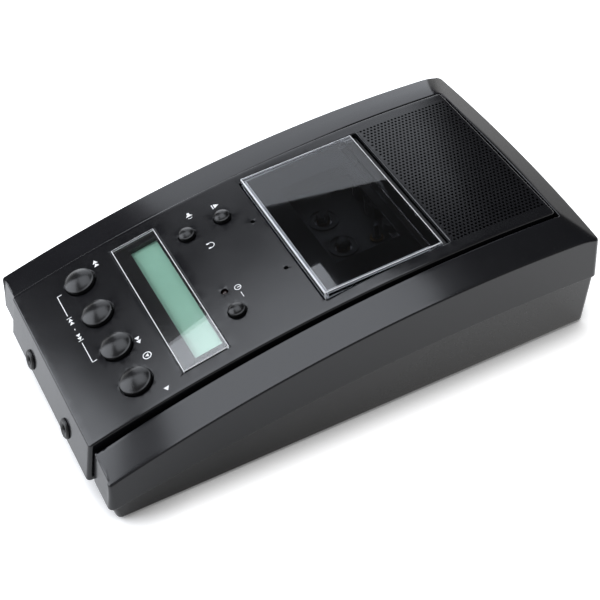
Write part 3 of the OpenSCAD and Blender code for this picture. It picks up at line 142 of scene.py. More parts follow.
FLOOR_HALF = 3.0
SOFTBOXES = (
    ("softbox_overhead", "key_light", (-0.395, -0.03, 1.0), (-0.395, -0.03, 0.0), (0.91, 0.7)),
    ("softbox_front", "front_light", (-0.65, -1.125, 0.78), (0.0, 0.0, 0.03), (1.35, 1.24)),
    ("white_card", "card_light", (-1.446, 0.4, 0.715), (0.0, 0.0, 0.715), (1.0, 1.42)),
)
LIGHT_COLOUR = (0.93, 0.97, 1.04)
CAMERA_AT, CAMERA_LENS, CAMERA_SHIFT = (0.41791, -0.16984, 0.46751), 86.28, (-0.0364, -0.0103)
CAMERA_RIGHT, CAMERA_DOWN = Vector((0.45364, 0.88939, -0.05651)), Vector((0.61266, -0.35728, -0.70498))
CAMERA_AHEAD = Vector((-0.64719, 0.28518, -0.70697))


# Forms of the case

def arc_of(y0, z0, y1, z1, rise):
    """Circle through two points of the side view with some rise over its chord: centre y and z, radius."""
    chord = math.hypot(y1 - y0, z1 - z0)
    radius = (chord * chord / 4 + rise * rise) / (2 * rise)
    ny, nz = -(z1 - z0) / chord, (y1 - y0) / chord
    return (y0 + y1) / 2 + ny * (rise - radius), (z0 + z1) / 2 + nz * (rise - radius), radius


PANEL_ARC = arc_of(PANEL_FRONT, PANEL_FRONT_Z, PANEL_BACK, PANEL_BACK_Z, PANEL_RISE)
PARTING_ARC = arc_of(CASE_FRONT, CASE_REF_Z, PARTING_BACK, BASE_TOP_Z, PARTING_RISE)


def arc_z(arc, y, drop=0.0):
    """Height of an arc at y: z = cz + sqrt((R - drop)^2 - (y - cy)^2)."""
    return arc[1] + np.sqrt((arc[2] - drop) ** 2 - (np.asarray(y, float) - arc[0]) ** 2)


def panel_tilt(y):
    """Slope of the control panel at y, in radians, rising to the back."""
    return math.asin((PANEL_ARC[0] - y) / PANEL_ARC[2])


def soft_min(a, b, soft):
    """The smaller of two values, rounded where they meet: a*(1-h) + b*h - soft*h*(1-h)."""
    h = np.clip(0.5 + 0.5 * (a - b) / soft, 0, 1)
    return a * (1 - h) + b * h - soft * h * (1 - h)


def roof_z(x, y):
    """Height of the case's top: a turned and tilted cylinder on each shoulder, the bridge under the
    panel's arc and a tilted cylinder that falls away behind it, joined by smooth minima."""
    lean = math.sin(ROOF_TILT)
    dx = np.abs(x) - (CASE_HALF - (ROOF_Z - CASE_REF_Z) * math.tan(SIDE_DRAFT))
    dy = y - ROOF_Y
    across = dy * math.cos(ROOF_YAW) - dx * math.sin(ROOF_YAW)
    along = dx * math.cos(ROOF_YAW) * lean + dy * math.sin(ROOF_YAW) * lean
    sink = np.sqrt(ROOF_R ** 2 - across ** 2) - ROOF_R
    shoulder = ROOF_Z + (sink - along) / math.cos(ROOF_TILT)
    bridge = arc_z(PANEL_ARC, y, BRIDGE_DROP)
    fall = BACK_Z - (y - OPENING_BACK) * math.tan(BACK_FALL)
    fall = fall + (np.sqrt(BACK_R ** 2 - np.square(x)) - BACK_R) / math.cos(BACK_FALL)
    return soft_min(soft_min(bridge, fall, BRIDGE_SOFT), shoulder, SHOULDER_SOFT)


def base_back_y(x, z):
    """Place of the lower housing's bowed and drafted back wall."""
    return BASE_BACK - (BASE_TOP_Z - z) * math.tan(BASE_DRAFT) - BASE_BOW * (x / BASE_HALF) ** 2


def tilted_frame(x, y, z, t):
    """A place, with the directions across, up and out of a face that rises to the back at some angle."""
    return np.array([[x, y, z], [1, 0, 0], [0, math.cos(t), math.sin(t)], [0, -math.sin(t), math.cos(t)]])


def panel_frame(at):
    """Frame at a place on the panel's top."""
    return tilted_frame(*at, arc_z(PANEL_ARC, at[1]), panel_tilt(at[1]))


def front_frame(x, rise):
    """Frame at a place on the panel's front face."""
    t = math.pi / 2 - math.atan(FRONT_SLOPE)
    foot = PANEL_FRONT - PANEL_LEAN
    return tilted_frame(x, foot + rise * math.cos(t), PANEL_FOOT_Z + rise * math.sin(t), t)


# Point tools

def quarter(count):
    """Angles of a quarter turn."""
    return np.linspace(0, math.pi / 2, count)


def ring_of(angles):
    """Unit vectors at some angles."""
    return np.stack([np.cos(angles), np.sin(angles)], -1)


def circle(count):
    """Unit vectors round a full turn."""
    return ring_of(np.linspace(0, 2 * math.pi, count, endpoint=False))


def unit(rows):
    """Vectors brought to length one."""
    return rows / np.linalg.norm(rows, axis=-1, keepdims=True)


def columns(*values):
    """Values and rows of values side by side."""
    return np.stack(np.broadcast_arrays(*values), 1)


def offset(plan, normals, steps):
    """Each place of a plan outline, moved out along its normal by some steps."""
    return plan[:, None] + normals[:, None] * np.asarray(steps)[:, None]


def lift(plan, z):
    """Plan points at some heights."""
    return np.concatenate([plan, np.broadcast_to(z, plan.shape[:-1])[..., None]], -1)


def on_roof(plan, drop=0.0):
    """Plan points on the case's roof, or some way under it."""
    return lift(plan, roof_z(plan[..., 0], plan[..., 1]) - drop)


def on_panel(plan, drop=0.0):
    """Plan points on the control panel, or some way under it."""
    return lift(plan, arc_z(PANEL_ARC, plan[..., 1]) - drop)


def border_of(grid):
    """Closed border of a grid of points."""
    return np.concatenate([grid[:-1, 0], grid[-1, :-1], grid[:0:-1, -1], grid[0, :0:-1]])


def rounded_rect(cx, cy, hx, hy, r, step=3.0, arc_n=6):
    """Closed outline of a rectangle with round corners, counter-clockwise: points and outward normals."""
    points, normals = [], []
    corners = ((1, -1, -90), (1, 1, 0), (-1, 1, 90), (-1, -1, 180))
    for k, (sx, sy, start) in enumerate(corners):
        ring = ring_of(np.radians(start + np.linspace(0, 90, arc_n + 1)))
        points.append(np.array([cx + sx * (hx - r), cy + sy * (hy - r)]) + ring * r)
        normals.append(ring)
        nx, ny, _ = corners[(k + 1) % 4]
        stop = np.array([cx + nx * (hx - r), cy + ny * (hy - r)]) + ring[-1] * r
        count = max(2, int(np.linalg.norm(stop - points[-1][-1]) / step))
        t = np.linspace(0, 1, count + 1)[1:-1, None]
        points.append(points[-1][-1] * (1 - t) + stop * t)
        normals.append(np.repeat(ring[-1:], len(t), 0))
    return np.concatenate(points), np.concatenate(normals)


def circle_outline(at, radius, count):
    """Closed outline of a hole square to the panel, seen from above: points and outward normals."""
    ring = circle(count) * [1, math.cos(panel_tilt(at[1]))]
    return at + ring * radius, ring


# Mesh tools. A part is its points, its polygons and the edge value of each point.

def grid_faces(nu, nv, wrap=False, flip=False):
    """Quads of an nu by nv grid of points, closed along u where wrap is set."""
    i = np.arange(nu if wrap else nu - 1)[:, None]
    j = np.arange(nv - 1)[None, :]
    k = (i + 1) % nu
    quads = np.stack([i * nv + j, k * nv + j, k * nv + j + 1, i * nv + j + 1], -1).reshape(-1, 4)
    return quads[:, ::-1] if flip else quads


def surface(points, wrap=False, flip=False, edge=0.0):
    """A grid of points (nu, nv, 3) as one part."""
    nu, nv = points.shape[:2]
    marks = np.broadcast_to(edge, (nu, nv)).reshape(-1)
    return points.reshape(-1, 3), grid_faces(nu, nv, wrap, flip), marks


def tube(ring, shift, flip=False):
    """The wall that a closed ring of points leaves when it is moved."""
    return surface(np.stack([ring, ring + shift], 1), wrap=True, flip=flip)


def sheet(points, faces):
    """Points and faces as one part with no edges."""
    return points, faces, np.zeros(len(points))


def without_patch(part, width, in_columns, in_rows):
    """A part made of a grid, without the quads that lie in some columns and rows of it."""
    points, quads, marks = part
    column, row = np.divmod(quads, width)
    patch = np.isin(column, in_columns).all(1) & np.isin(row, in_rows).all(1)
    return points, quads[~patch], marks


def fill(loops, inside=()):
    """Triangles between closed convex loops of plan points, the first outside and the others holes, with
    loose points. A triangle whose three corners lie on the same hole is in that hole, and is left out."""
    points = np.concatenate([*loops, *inside])
    owner = np.full(len(points), -1)
    edges, start = [], 0
    for number, loop in enumerate(loops):
        k = np.arange(len(loop))
        edges.append(np.stack([start + k, start + (k + 1) % len(loop)], 1))
        owner[start:start + len(loop)] = number
        start += len(loop)
    edges = np.concatenate(edges).tolist()
    vectors = [Vector(p) for p in points.tolist()]
    places, _, faces, origins = delaunay_2d_cdt(vectors, edges, [], 0, 1e-7, True)[:4]
    tris = np.array(faces)
    first, second, third = owner[[origin[0] for origin in origins]][tris].T
    in_hole = (first > 0) & (first == second) & (first == third)
    return np.array([tuple(p) for p in places]), tris[~in_hole]


def hole_rim(outline, normals, radius, tilt):
    """Rounded edge and wall of a hole in the panel: a quarter circle from the top, then straight in.
    Point = outline + normal * radius * (1 - sin t), lowered by radius * (1 - cos t) along the hole."""
    t = quarter(5)
    low = np.append(radius * (1 - np.cos(t)), [(radius + WALL) / 2, WALL])
    plan = offset(outline, normals, np.append(radius * (1 - np.sin(t)), [0, 0]))
    points = on_panel(plan, low * math.cos(tilt))
    points[..., 1] += low * math.sin(tilt)
    return surface(points, wrap=True, edge=np.append(np.ones(len(t)), [0, 0]))


def lathe(profile, frame_at, edge=0.0, count=48):
    """A profile of (radius, height) turned about a frame's outward axis:
    point = place + radius * (cos a * across + sin a * up) + height * out."""
    profile = np.asarray(profile, float)
    place_at, across, up, out = frame_at
    turn = circle(count)
    ring = turn[:, :1] * across + turn[:, 1:] * up
    points = place_at + ring[:, None] * profile[:, :1] + profile[:, 1:] * out
    return surface(points, wrap=True, flip=True, edge=edge)


def piece(name, parts, material, nodes=(), body=CASE_BODY, outward=False):
    """Joins parts into one welded mesh object that rides on a body and stands for some nodes."""
    mesh = bpy.data.meshes.new(name)
    faces, start = [], 0
    for points, polygons, _ in parts:
        faces += (polygons + start).tolist()
        start += len(points)
    mesh.from_pydata((np.concatenate([p[0] for p in parts]) * MM).tolist(), [], faces)
    edge = mesh.attributes.new("edge", "FLOAT", "POINT")
    edge.data.foreach_set("value", np.concatenate([p[2] for p in parts]).astype(np.float32))
    bm = bmesh.new()
    bm.from_mesh(mesh)
    bmesh.ops.remove_doubles(bm, verts=bm.verts, dist=WELD)
    bmesh.ops.dissolve_degenerate(bm, edges=bm.edges, dist=WELD / 3)
    if outward:
        bmesh.ops.recalc_face_normals(bm, faces=bm.faces)
    bm.to_mesh(mesh)
    bm.free()
    obj = place(name, mesh, body, material, nodes)
    mesh.set_sharp_from_angle(angle=SMOOTH_LIMIT)
    even_shading(obj)


def place(name, mesh, body, material, nodes=()):
    """Puts a smooth mesh into the scene at the origin, with its finish, body and replaced nodes."""
    mesh.polygons.foreach_set("use_smooth", np.ones(len(mesh.polygons), bool))
    mesh.materials.clear()
    mesh.materials.append(material)
    obj = bpy.data.objects.new(name, mesh)
    bpy.context.scene.collection.objects.link(obj)
    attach(obj, body)
    if nodes:
        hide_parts(*nodes)
    return obj


def even_shading(obj):
    """Lets the large faces set the normals at the edges that they share with roundings."""
    weighted = obj.modifiers.new("even shading", "WEIGHTED_NORMAL")
    weighted.keep_sharp = True
    weighted.weight = NORMAL_WEIGHT


def slot_of(node):
    """Material slot that the record gives a node."""
    return next(s["material_slot"] for s in frame["record"]["subparts"] if s["node"] == node)


def rounded_copy(node, name, material, width, segments=2, edges=None, sink=0.0):
    """A copy of a node's solid with flat faces joined and edges rounded, in their own finish if any. It may
    sink a little, so that it shares no face with a clear part on it."""
    mesh = frame["nodes"][node].data.copy()
    mesh.name = name
    bm = bmesh.new()
    bm.from_mesh(mesh)
    bmesh.ops.remove_doubles(bm, verts=bm.verts, dist=WELD)
    bmesh.ops.dissolve_limit(bm, angle_limit=FLAT_LIMIT, verts=bm.verts, edges=bm.edges)
    bmesh.ops.translate(bm, verts=bm.verts, vec=(0, 0, -sink * MM))
    bm.to_mesh(mesh)
    bm.free()
    obj = place(name, mesh, frame["nodes"][node]["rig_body"], material, (node,))
    bevel = obj.modifiers.new("rounded edges", "BEVEL")
    bevel.width = width * MM
    bevel.segments = segments
    bevel.limit_method = "ANGLE"
    bevel.angle_limit = BEVEL_LIMIT
    # edges, when given, is a pale finish for the rounded edges: a painted highlight
    if edges:
        mesh.materials.append(edges)
        bevel.material = 1
        bevel.use_clamp_overlap = False
    even_shading(obj)


# Finishes

def wire(tree, node, inputs):
    """Sets inputs of a node, or links them from other sockets."""
    for key, value in inputs.items():
        if isinstance(value, bpy.types.NodeSocket):
            tree.links.new(value, node.inputs[key])
        else:
            node.inputs[key].default_value = value
    return node


def add(tree, kind, inputs=None, **settings):
    """A new node with its settings and inputs."""
    node = tree.nodes.new(kind)
    for key, value in settings.items():
        setattr(node, key, value)
    return wire(tree, node, inputs or {})


def noise(tree, vector, scale, detail=3.0, rough=0.55):
    """Noise value at a scale in cells per metre."""
    inputs = {"Vector": vector, "Scale": scale, "Detail": detail, "Roughness": rough}
    return add(tree, "ShaderNodeTexNoise", inputs).outputs["Fac"]


def spread(tree, value, low, high, start=0.0, stop=1.0):
    """Maps a value from start..stop to low..high, clamped."""
    inputs = {"Value": value, "From Min": start, "From Max": stop, "To Min": low, "To Max": high}
    return add(tree, "ShaderNodeMapRange", inputs).outputs["Result"]


def combine(tree, operation, first, second):
    """Result of a sum on two values."""
    return add(tree, "ShaderNodeMath", {0: first, 1: second}, operation=operation).outputs[0]


def blend(tree, factor, first, second):
    """Mix of two values by a factor."""
    return add(tree, "ShaderNodeMix", {0: factor, 2: first, 3: second}, data_type="FLOAT").outputs[0]


def blend_colour(tree, factor, first, second):
    """Mix of two colours by a factor."""
    return add(tree, "ShaderNodeMix", {0: factor, 6: first, 7: second}, data_type="RGBA").outputs[2]


def shade(colour, factor):
    """A colour made lighter or darker."""
    return (colour[0] * factor, colour[1] * factor, colour[2] * factor, 1.0)


def tones(tree, factor, colour, first, second):
    """A colour that goes from one shade to another by a factor."""
    return blend_colour(tree, factor, shade(colour, first), shade(colour, second))


def relief(tree, height, strength, depth):
    """Normal of a bump of some depth in millimetres."""
    inputs = {"Height": height, "Strength": strength, "Distance": depth * MM}
    return add(tree, "ShaderNodeBump", inputs).outputs["Normal"]


def moulded_plastic(tree, shader, where, colour, rough, grain=0.35, depth=0.007, specular=0.5):
    """Moulded plastic with a fine spark-eroded grain, cloudy gloss, faint pale specks and rubbed edges. The
    grain's size and depth are in millimetres."""
    cloud = noise(tree, where, 45.0, 4.0)
    specks = spread(tree, noise(tree, where, 900.0, 0.0), 0.0, 0.015, 0.7, 0.8)
    rubbed = add(tree, "ShaderNodeAttribute", attribute_name="edge").outputs["Fac"]
    body = tones(tree, cloud, colour, 0.88, 1.12)
    worn = blend_colour(tree, spread(tree, rubbed, 0.0, 0.55), body, shade(colour, 1.5))
    cloudy = spread(tree, cloud, rough - 0.02, rough + 0.02, 0.3, 0.7)
    wire(tree, shader, {
        "Base Color": blend_colour(tree, specks, worn, (0.3, 0.3, 0.29, 1.0)),
        "Roughness": combine(tree, "SUBTRACT", cloudy, spread(tree, rubbed, 0.0, 0.06)),
        "Normal": relief(tree, noise(tree, where, 1000 / grain, 2.0), 0.35, depth),
        "Specular IOR Level": specular})


def clear_plastic(tree, shader, where, tint, rough):
    """Clear acrylic with faint rubbed patches, which lets the lamps' light through."""
    smear = noise(tree, where, 70.0, 5.0, 0.65)
    wire(tree, shader, {
        "Base Color": (*tint, 1.0), "Roughness": spread(tree, smear, rough, rough + 0.03, 0.5, 0.8),
        "Transmission Weight": 1.0, "IOR": ACRYLIC_IOR})
    shadow = add(tree, "ShaderNodeLightPath").outputs["Is Shadow Ray"]
    clear = add(tree, "ShaderNodeBsdfTransparent", {"Color": (*np.sqrt(tint), 1.0)})
    both = add(tree, "ShaderNodeMixShader", {0: shadow, 1: shader.outputs[0], 2: clear.outputs[0]})
    wire(tree, tree.nodes["Material Output"], {"Surface": both.outputs[0]})


def painted_glow_edge(tree, shader, where, colour):
    """Polished edge of clear acrylic, painted mostly pale as a painted highlight for the light that such an
    edge gathers, with fine saw marks.
    """
    marks = noise(tree, where, 1800.0)
    wire(tree, shader, {
        "Base Color": tones(tree, marks, colour, 0.85, 1.05),
        "Roughness": spread(tree, marks, 0.12, 0.3, 0.3, 0.7),
        "Transmission Weight": 0.12, "IOR": ACRYLIC_IOR})


def turned_metal(tree, shader, where, colour, rough):
    """Turned or rolled metal with fine drawn lines and faint stains."""
    drawn = add(tree, "ShaderNodeMapping", {"Vector": where, "Scale": (1.0, 1.0, 14.0)}).outputs["Vector"]
    lines = noise(tree, drawn, 900.0)
    wire(tree, shader, {
        "Base Color": tones(tree, noise(tree, where, 120.0, 4.0), colour, 0.8, 1.08),
        "Roughness": spread(tree, lines, rough - 0.08, rough + 0.1, 0.3, 0.7),
        "Normal": relief(tree, lines, 0.2, 0.01), "Metallic": 1.0})


def circuit_board(tree, shader, where, colour):
    """Solder mask over copper tracks drawn as square cells."""
    cells = add(tree, "ShaderNodeTexVoronoi", {"Vector": where, "Scale": 260.0}, distance="MANHATTAN")
    tracks = spread(tree, cells.outputs["Distance"], 1.0, 0.0, 0.28, 0.34)
    wire(tree, shader, {
        "Base Color": tones(tree, tracks, colour, 1.0, 2.2), "Roughness": 0.35,
        "Normal": relief(tree, tracks, 0.4, 0.03)})


def display_glass(tree, shader, where, colour):
    """Grey-green display with a fine dot raster and a slow change of tone."""
    dots = add(tree, "ShaderNodeTexVoronoi", {"Vector": where, "Scale": 1500.0, "Randomness": 0.0})
    raster = spread(tree, dots.outputs["Distance"], 0.12, 0.0, 0.2, 0.45)
    tone = tones(tree, noise(tree, where, 18.0, 2.0), colour, 0.92, 1.08)
    wire(tree, shader, {
        "Base Color": blend_colour(tree, raster, tone, shade(colour, 0.7)), "Roughness": 0.12,
        "Coat Weight": 1.0, "Coat Roughness": 0.05})


def dull_bloom(tree, shader, where, colour):
    """Dull rubber or paper with a coarse pale bloom."""
    bloom = noise(tree, where, 300.0, 5.0)
    pale = spread(tree, bloom, 0.0, 0.5, 0.45, 0.75)
    wire(tree, shader, {
        "Base Color": blend_colour(tree, pale, (*colour, 1.0), (0.05, 0.05, 0.048, 1.0)), "Roughness": 0.8,
        "Normal": relief(tree, bloom, 0.4, 0.03)})


def printed_ink(tree, shader, where, colour):
    """Screen-printed ink, slightly worn through."""
    worn = spread(tree, noise(tree, where, 1500.0), 0.0, 0.6, 0.6, 0.8)
    wire(tree, shader, {"Base Color": tones(tree, worn, colour, 1.0, 0.5), "Roughness": 0.6})


MADE_FINISHES = {}
NODE_FINISH = {"tape_head": "burnished", "erase_head": "burnished", "capstan_shaft": "burnished",
               "capstan_bearing": "bronze", "spindle_bushes": "bronze"}


def new_finish(name):
    """A new material: itself, its tree, its shader and the place on a piece, in metres."""
    material = bpy.data.materials.new(name)
    material.use_nodes = True
    tree = material.node_tree
    return material, tree, tree.nodes["Principled BSDF"], add(tree, "ShaderNodeTexCoord").outputs["Object"]


def finish(name):
    """The finish of that name, made once from the panel's settings: its material's name, its maker and what
    the maker is given."""
    look = bpy.context.scene.dictation_finishes
    makers = {
        "case": ("case_moulding", moulded_plastic, look.case_colour, look.case_rough),
        "panel": ("panel_moulding", moulded_plastic, look.panel_colour, look.case_rough),
        "base": ("base_moulding", moulded_plastic, look.base_colour, look.case_rough + 0.03, 0.5),
        "key": ("key_satin", moulded_plastic, look.key_colour, look.key_rough, 0.2, 0.003, 0.4),
        "black": ("black_moulding", moulded_plastic, look.black_colour, 0.4, 0.3),
        "gloss": ("black_polished", moulded_plastic, look.black_colour, 0.1, 6.0, 0.0004),
        "white": ("white_moulding", moulded_plastic, (0.7, 0.7, 0.66), 0.45),
        "lamp": ("lamp_lens", moulded_plastic, (0.02, 0.009, 0.008), 0.12, 0.35, 0.001),
        "clear": ("door_acrylic", clear_plastic, (0.34, 0.35, 0.37), 0.012),
        "lens": ("lens_acrylic", clear_plastic, (0.96, 0.97, 0.97), 0.01),
        # the clear parts' rounded edges are painted pale: a painted highlight standing for the light they
        # gather
        "edge": ("acrylic_edge", painted_glow_edge, (0.94, 0.95, 0.96)),
        "display": ("display_glass", display_glass, look.display_colour),
        "steel": ("plain_steel", turned_metal, (0.55, 0.56, 0.58), 0.32),
        "burnished": ("burnished_steel", turned_metal, (0.07, 0.072, 0.076), 0.3),
        "iron": ("magnet_iron", turned_metal, (0.12, 0.125, 0.13), 0.45),
        "brass": ("turned_brass", turned_metal, (0.7, 0.52, 0.22), 0.28),
        "bronze": ("oiled_bronze", turned_metal, (0.1, 0.065, 0.03), 0.35),
        "board": ("solder_mask", circuit_board, (0.02, 0.09, 0.035)),
        "rubber": ("black_rubber", dull_bloom, (0.014, 0.014, 0.014)),
        "cone": ("cone_paper", dull_bloom, (0.02, 0.02, 0.022)),
        "print": ("white_print", printed_ink, look.print_colour),
    }
    if name not in MADE_FINISHES:
        material_name, maker, *values = makers[name]
        MADE_FINISHES[name], *nodes = new_finish(material_name)
        maker(*nodes, *values)
    return MADE_FINISHES[name]


def finish_of(node):
    """The finish of a node: its own, or else the one that its slot's first word names."""
    return finish(NODE_FINISH.get(node, slot_of(node).split("_")[0]))


# Settings

def length(name, about, default, low, high):
    """A length, given in millimetres."""
    return FloatProperty(name=name, description=about, default=default * MM, min=low * MM, max=high * MM,
                         unit="LENGTH")


def colour(name, about, default):
    """A colour."""
    return FloatVectorProperty(name=name, description=about, default=default, subtype="COLOR", size=3,
                               min=0, max=1)


def level(name, about, default, low=0.0, **kind):
    """A value of at least some size."""
    return FloatProperty(name=name, description=about, default=default, min=low, **kind)


class DictationSizes(bpy.types.PropertyGroup):
    """Sizes of the visible roundings, domes and holes"""
    shoulder_round: length("Shoulder rounding", "Radius of the case's outer top edge", 1.0, 0.5, 2.9)
    panel_round: length("Panel rounding", "Radius of the control panel's top edge", 0.8, 0.3, 1.5)
    key_round: length("Key rounding", "Radius of the large keys' edge", 0.45, 0.3, 1.4)
    key_crown: length("Key crown", "Rise of the large keys' domes", 2.0, 1.0, 3.0)
    grille_pitch: length("Grille pitch", "Spacing of the loudspeaker's holes", 1.8, 1.6, 4.0)
    grille_hole: length("Grille hole", "Radius of the loudspeaker's holes", 0.6, 0.4, 0.8)


class DictationFinishes(bpy.types.PropertyGroup):
    """Colours and gloss of the finishes"""
    case_colour: colour("Case", "Colour of the upper case", (0.0085, 0.0085, 0.01))
    panel_colour: colour("Panel", "Colour of the control panel", (0.006, 0.006, 0.0072))
    base_colour: colour("Base", "Colour of the lower housing", (0.03, 0.0295, 0.0295))
    key_colour: colour("Keys", "Colour of the keys and buttons", (0.006, 0.006, 0.0066))
    black_colour: colour("Black parts", "Colour of the inner mouldings", (0.005, 0.005, 0.0055))
    display_colour: colour("Display", "Colour of the display", (0.215, 0.385, 0.295))
    print_colour: colour("Print", "Colour of the printed signs", (0.95, 0.95, 0.95))
    case_rough: level("Case roughness", "Roughness of the housings", 0.16, 0.1, max=1, subtype="FACTOR")
    key_rough: level("Key roughness", "Roughness of the keys", 0.26, 0.1, max=1, subtype="FACTOR")


class DictationStage(bpy.types.PropertyGroup):
    """Light of the stage"""
    key_light: level("Key light", "Power of the softbox overhead", 5.7, unit="POWER")
    card_light: level("White card", "Power of the lit card on the far side", 6.8, unit="POWER")
    front_light: level("Front softbox", "Power of the softbox at the front on the left", 19.5, unit="POWER")
    room_light: level("Room light", "Strength of the light from the camera's side", 0.3)
    floor_glow: level("Floor glow", "White that the floor adds to what it scatters", 0.95)


# Mouldings

def case_path():
    """Right half of the upper case's outline at the reference height, from the opening to the middle of the
    back: places, outward normals and wall drafts, and the stations that the opening's edge is matched to.
    The back is y = CASE_BACK - CASE_BOW (x / span)^2."""
    turn = quarter(10)
    share = turn / turn[-1]
    low, high = ring_of(turn - math.pi / 2), ring_of(turn)
    span, back_y = CASE_HALF - CASE_CORNER, CASE_BACK - CASE_BOW - CASE_CORNER
    front_x = np.linspace(OPENING_HALF, span, 9)[:-1]
    side_y = np.linspace(CASE_FRONT + CASE_CORNER, back_y, 90)[1:-1]
    back_x = np.linspace(span, 0, 36)[1:]
    places = [columns(front_x, CASE_FRONT), [span, CASE_FRONT + CASE_CORNER] + CASE_CORNER * low,
              columns(CASE_HALF, side_y), [span, back_y] + CASE_CORNER * high,
              columns(back_x, CASE_BACK - CASE_BOW * (back_x / span) ** 2)]
    normals = [columns(0 * front_x, -1.0), low, columns(1.0, 0 * side_y), high,
               unit(columns(2 * CASE_BOW * back_x / span ** 2, 1.0))]
    drafts = [np.full(len(front_x), FRONT_LEAN), FRONT_LEAN + (SIDE_DRAFT - FRONT_LEAN) * share,
              np.full(len(side_y), SIDE_DRAFT), SIDE_DRAFT * (1 - share), 0 * back_x]
    first = len(front_x) + len(turn)
    last = first + len(side_y) + len(turn)
    stations = [0, first, first + np.searchsorted(side_y, MATCH_CORNER),
                last + np.searchsorted(-back_x, -MATCH_BACK), -1]
    return np.concatenate(places), np.concatenate(normals), np.concatenate(drafts), stations


def opening_path(outer, stations):
    """Right half of the opening's edge, matched place by place to the outer path: along the side, round the
    corner and across to the middle. Places and normals."""
    walk = np.append(0, np.cumsum(np.linalg.norm(np.diff(outer, axis=0), axis=1)))
    straight = OPENING_BACK - OPENING_CORNER - CASE_FRONT
    bend = straight + OPENING_CORNER * math.pi / 2
    reach = [0, MATCH_FRONT, outer[stations[2], 1] - CASE_FRONT, bend, bend + OPENING_HALF - OPENING_CORNER]
    w = np.interp(walk, walk[stations], reach)
    normal = ring_of(np.clip((w - straight) / OPENING_CORNER, 0, math.pi / 2))
    across = OPENING_HALF - OPENING_CORNER - np.clip(w - bend, 0, None)
    return columns(across, CASE_FRONT + np.clip(w, 0, straight)) + OPENING_CORNER * normal, normal


def edge_rounding(edge, top, normal, slope, radius):
    """Rounding along the roof's outer edge: in each section a circle tangent to roof and wall, whose centre
    lies radius / sin(half the angle between them) from the edge."""
    probe = 0.5
    inside = edge - normal * probe
    fall = (top - roof_z(*inside.T)) / probe
    run_roof, run_wall = unit(columns(-1.0, -fall)), unit(columns(slope, -1.0))
    half_angle = np.arccos(np.clip((run_roof * run_wall).sum(1), -1, 1)) / 2
    centre = unit(run_roof + run_wall) * (radius / np.sin(half_angle))[:, None]
    tangent = (radius / np.tan(half_angle))[:, None]
    start, stop = (np.arctan2(*(run * tangent - centre).T[::-1])[:, None] for run in (run_roof, run_wall))
    arc = centre[:, None] + radius * ring_of(start + (stop - start) * np.linspace(0, 1, 9))
    return lift(edge[:, None] + normal[:, None] * arc[..., :1], top[:, None] + arc[..., 1])


def upper_case_parts(radius):
    """The upper case as one profile carried round a U-shaped path: from the ledge in the panel's groove up
    the inner wall, over a small rounding, across the roof z = roof_z(x, y), over the outer rounding and
    down the drafted wall to the parting line."""
    outer, normal, draft, stations = case_path()
    halves = (outer, normal, *opening_path(outer, stations))
    outer, normal, inner, inner_n = (np.concatenate([a, (a * [-1, 1])[-2::-1]]) for a in halves)
    slope = np.tan(np.append(draft, draft[-2::-1]))[:, None]
    top = np.full(len(outer), ROOF_Z)
    for _ in range(6):
        edge = outer - normal * (top[:, None] - CASE_REF_Z) * slope
        top = roof_z(*edge.T)
    rounding = edge_rounding(edge, top, normal, slope[:, 0], radius)
    t = quarter(6)
    lip_plan = offset(inner, inner_n, LIP_R * (1 - np.cos(t)))
    lip = on_roof(lip_plan, LIP_R * (1 - np.sin(t)))
    floor_z = np.maximum(lip[:, 0, 2] - PANEL_SKIRT, arc_z(PARTING_ARC, inner[:, 1]))
    foot = lift(inner, floor_z)[:, None]
    ledge = lift(inner - inner_n * LEDGE_WIDE, floor_z)[:, None]
    s = np.linspace(0, 1, 12)[1:-1, None]
    roof = on_roof(lip_plan[:, -1:] * (1 - s) + rounding[:, :1, :2] * s)
    for rows in (ledge, foot, lip, roof):
        leaning = CASE_FRONT + (rows[..., 2] - CASE_REF_Z) * math.tan(FRONT_LEAN)
        rows[..., 1] = np.maximum(rows[..., 1], leaning)
    low = outer - normal * (arc_z(PARTING_ARC, outer[:, 1])[:, None] - CASE_REF_Z) * slope
    low_z = arc_z(PARTING_ARC, np.clip(low[:, 1], CASE_FRONT, None))
    s = np.linspace(0, 1, 6)[1:, None]
    wall = rounding[:, -1:] * (1 - s) + lift(low, low_z + TUCK_R)[:, None] * s
    t = quarter(4)[1:]
    tuck = lift(offset(low, normal, TUCK_R * (np.cos(t) - 1)), low_z[:, None] + TUCK_R * (1 - np.sin(t)))
    under = lift(low - normal * UNDER_WIDE, low_z)[:, None]
    inside = lift(low - normal * WALL, low_z + INSIDE_RISE)[:, None]
    rows = (ledge, foot, lip, roof, rounding, wall, tuck, under, inside)
    marks = (0, 0, 1, 0, 0.6, 0, 1, 0, 0)
    return [surface(np.concatenate(rows, 1), flip=True, edge=np.repeat(marks, [r.shape[1] for r in rows]))]


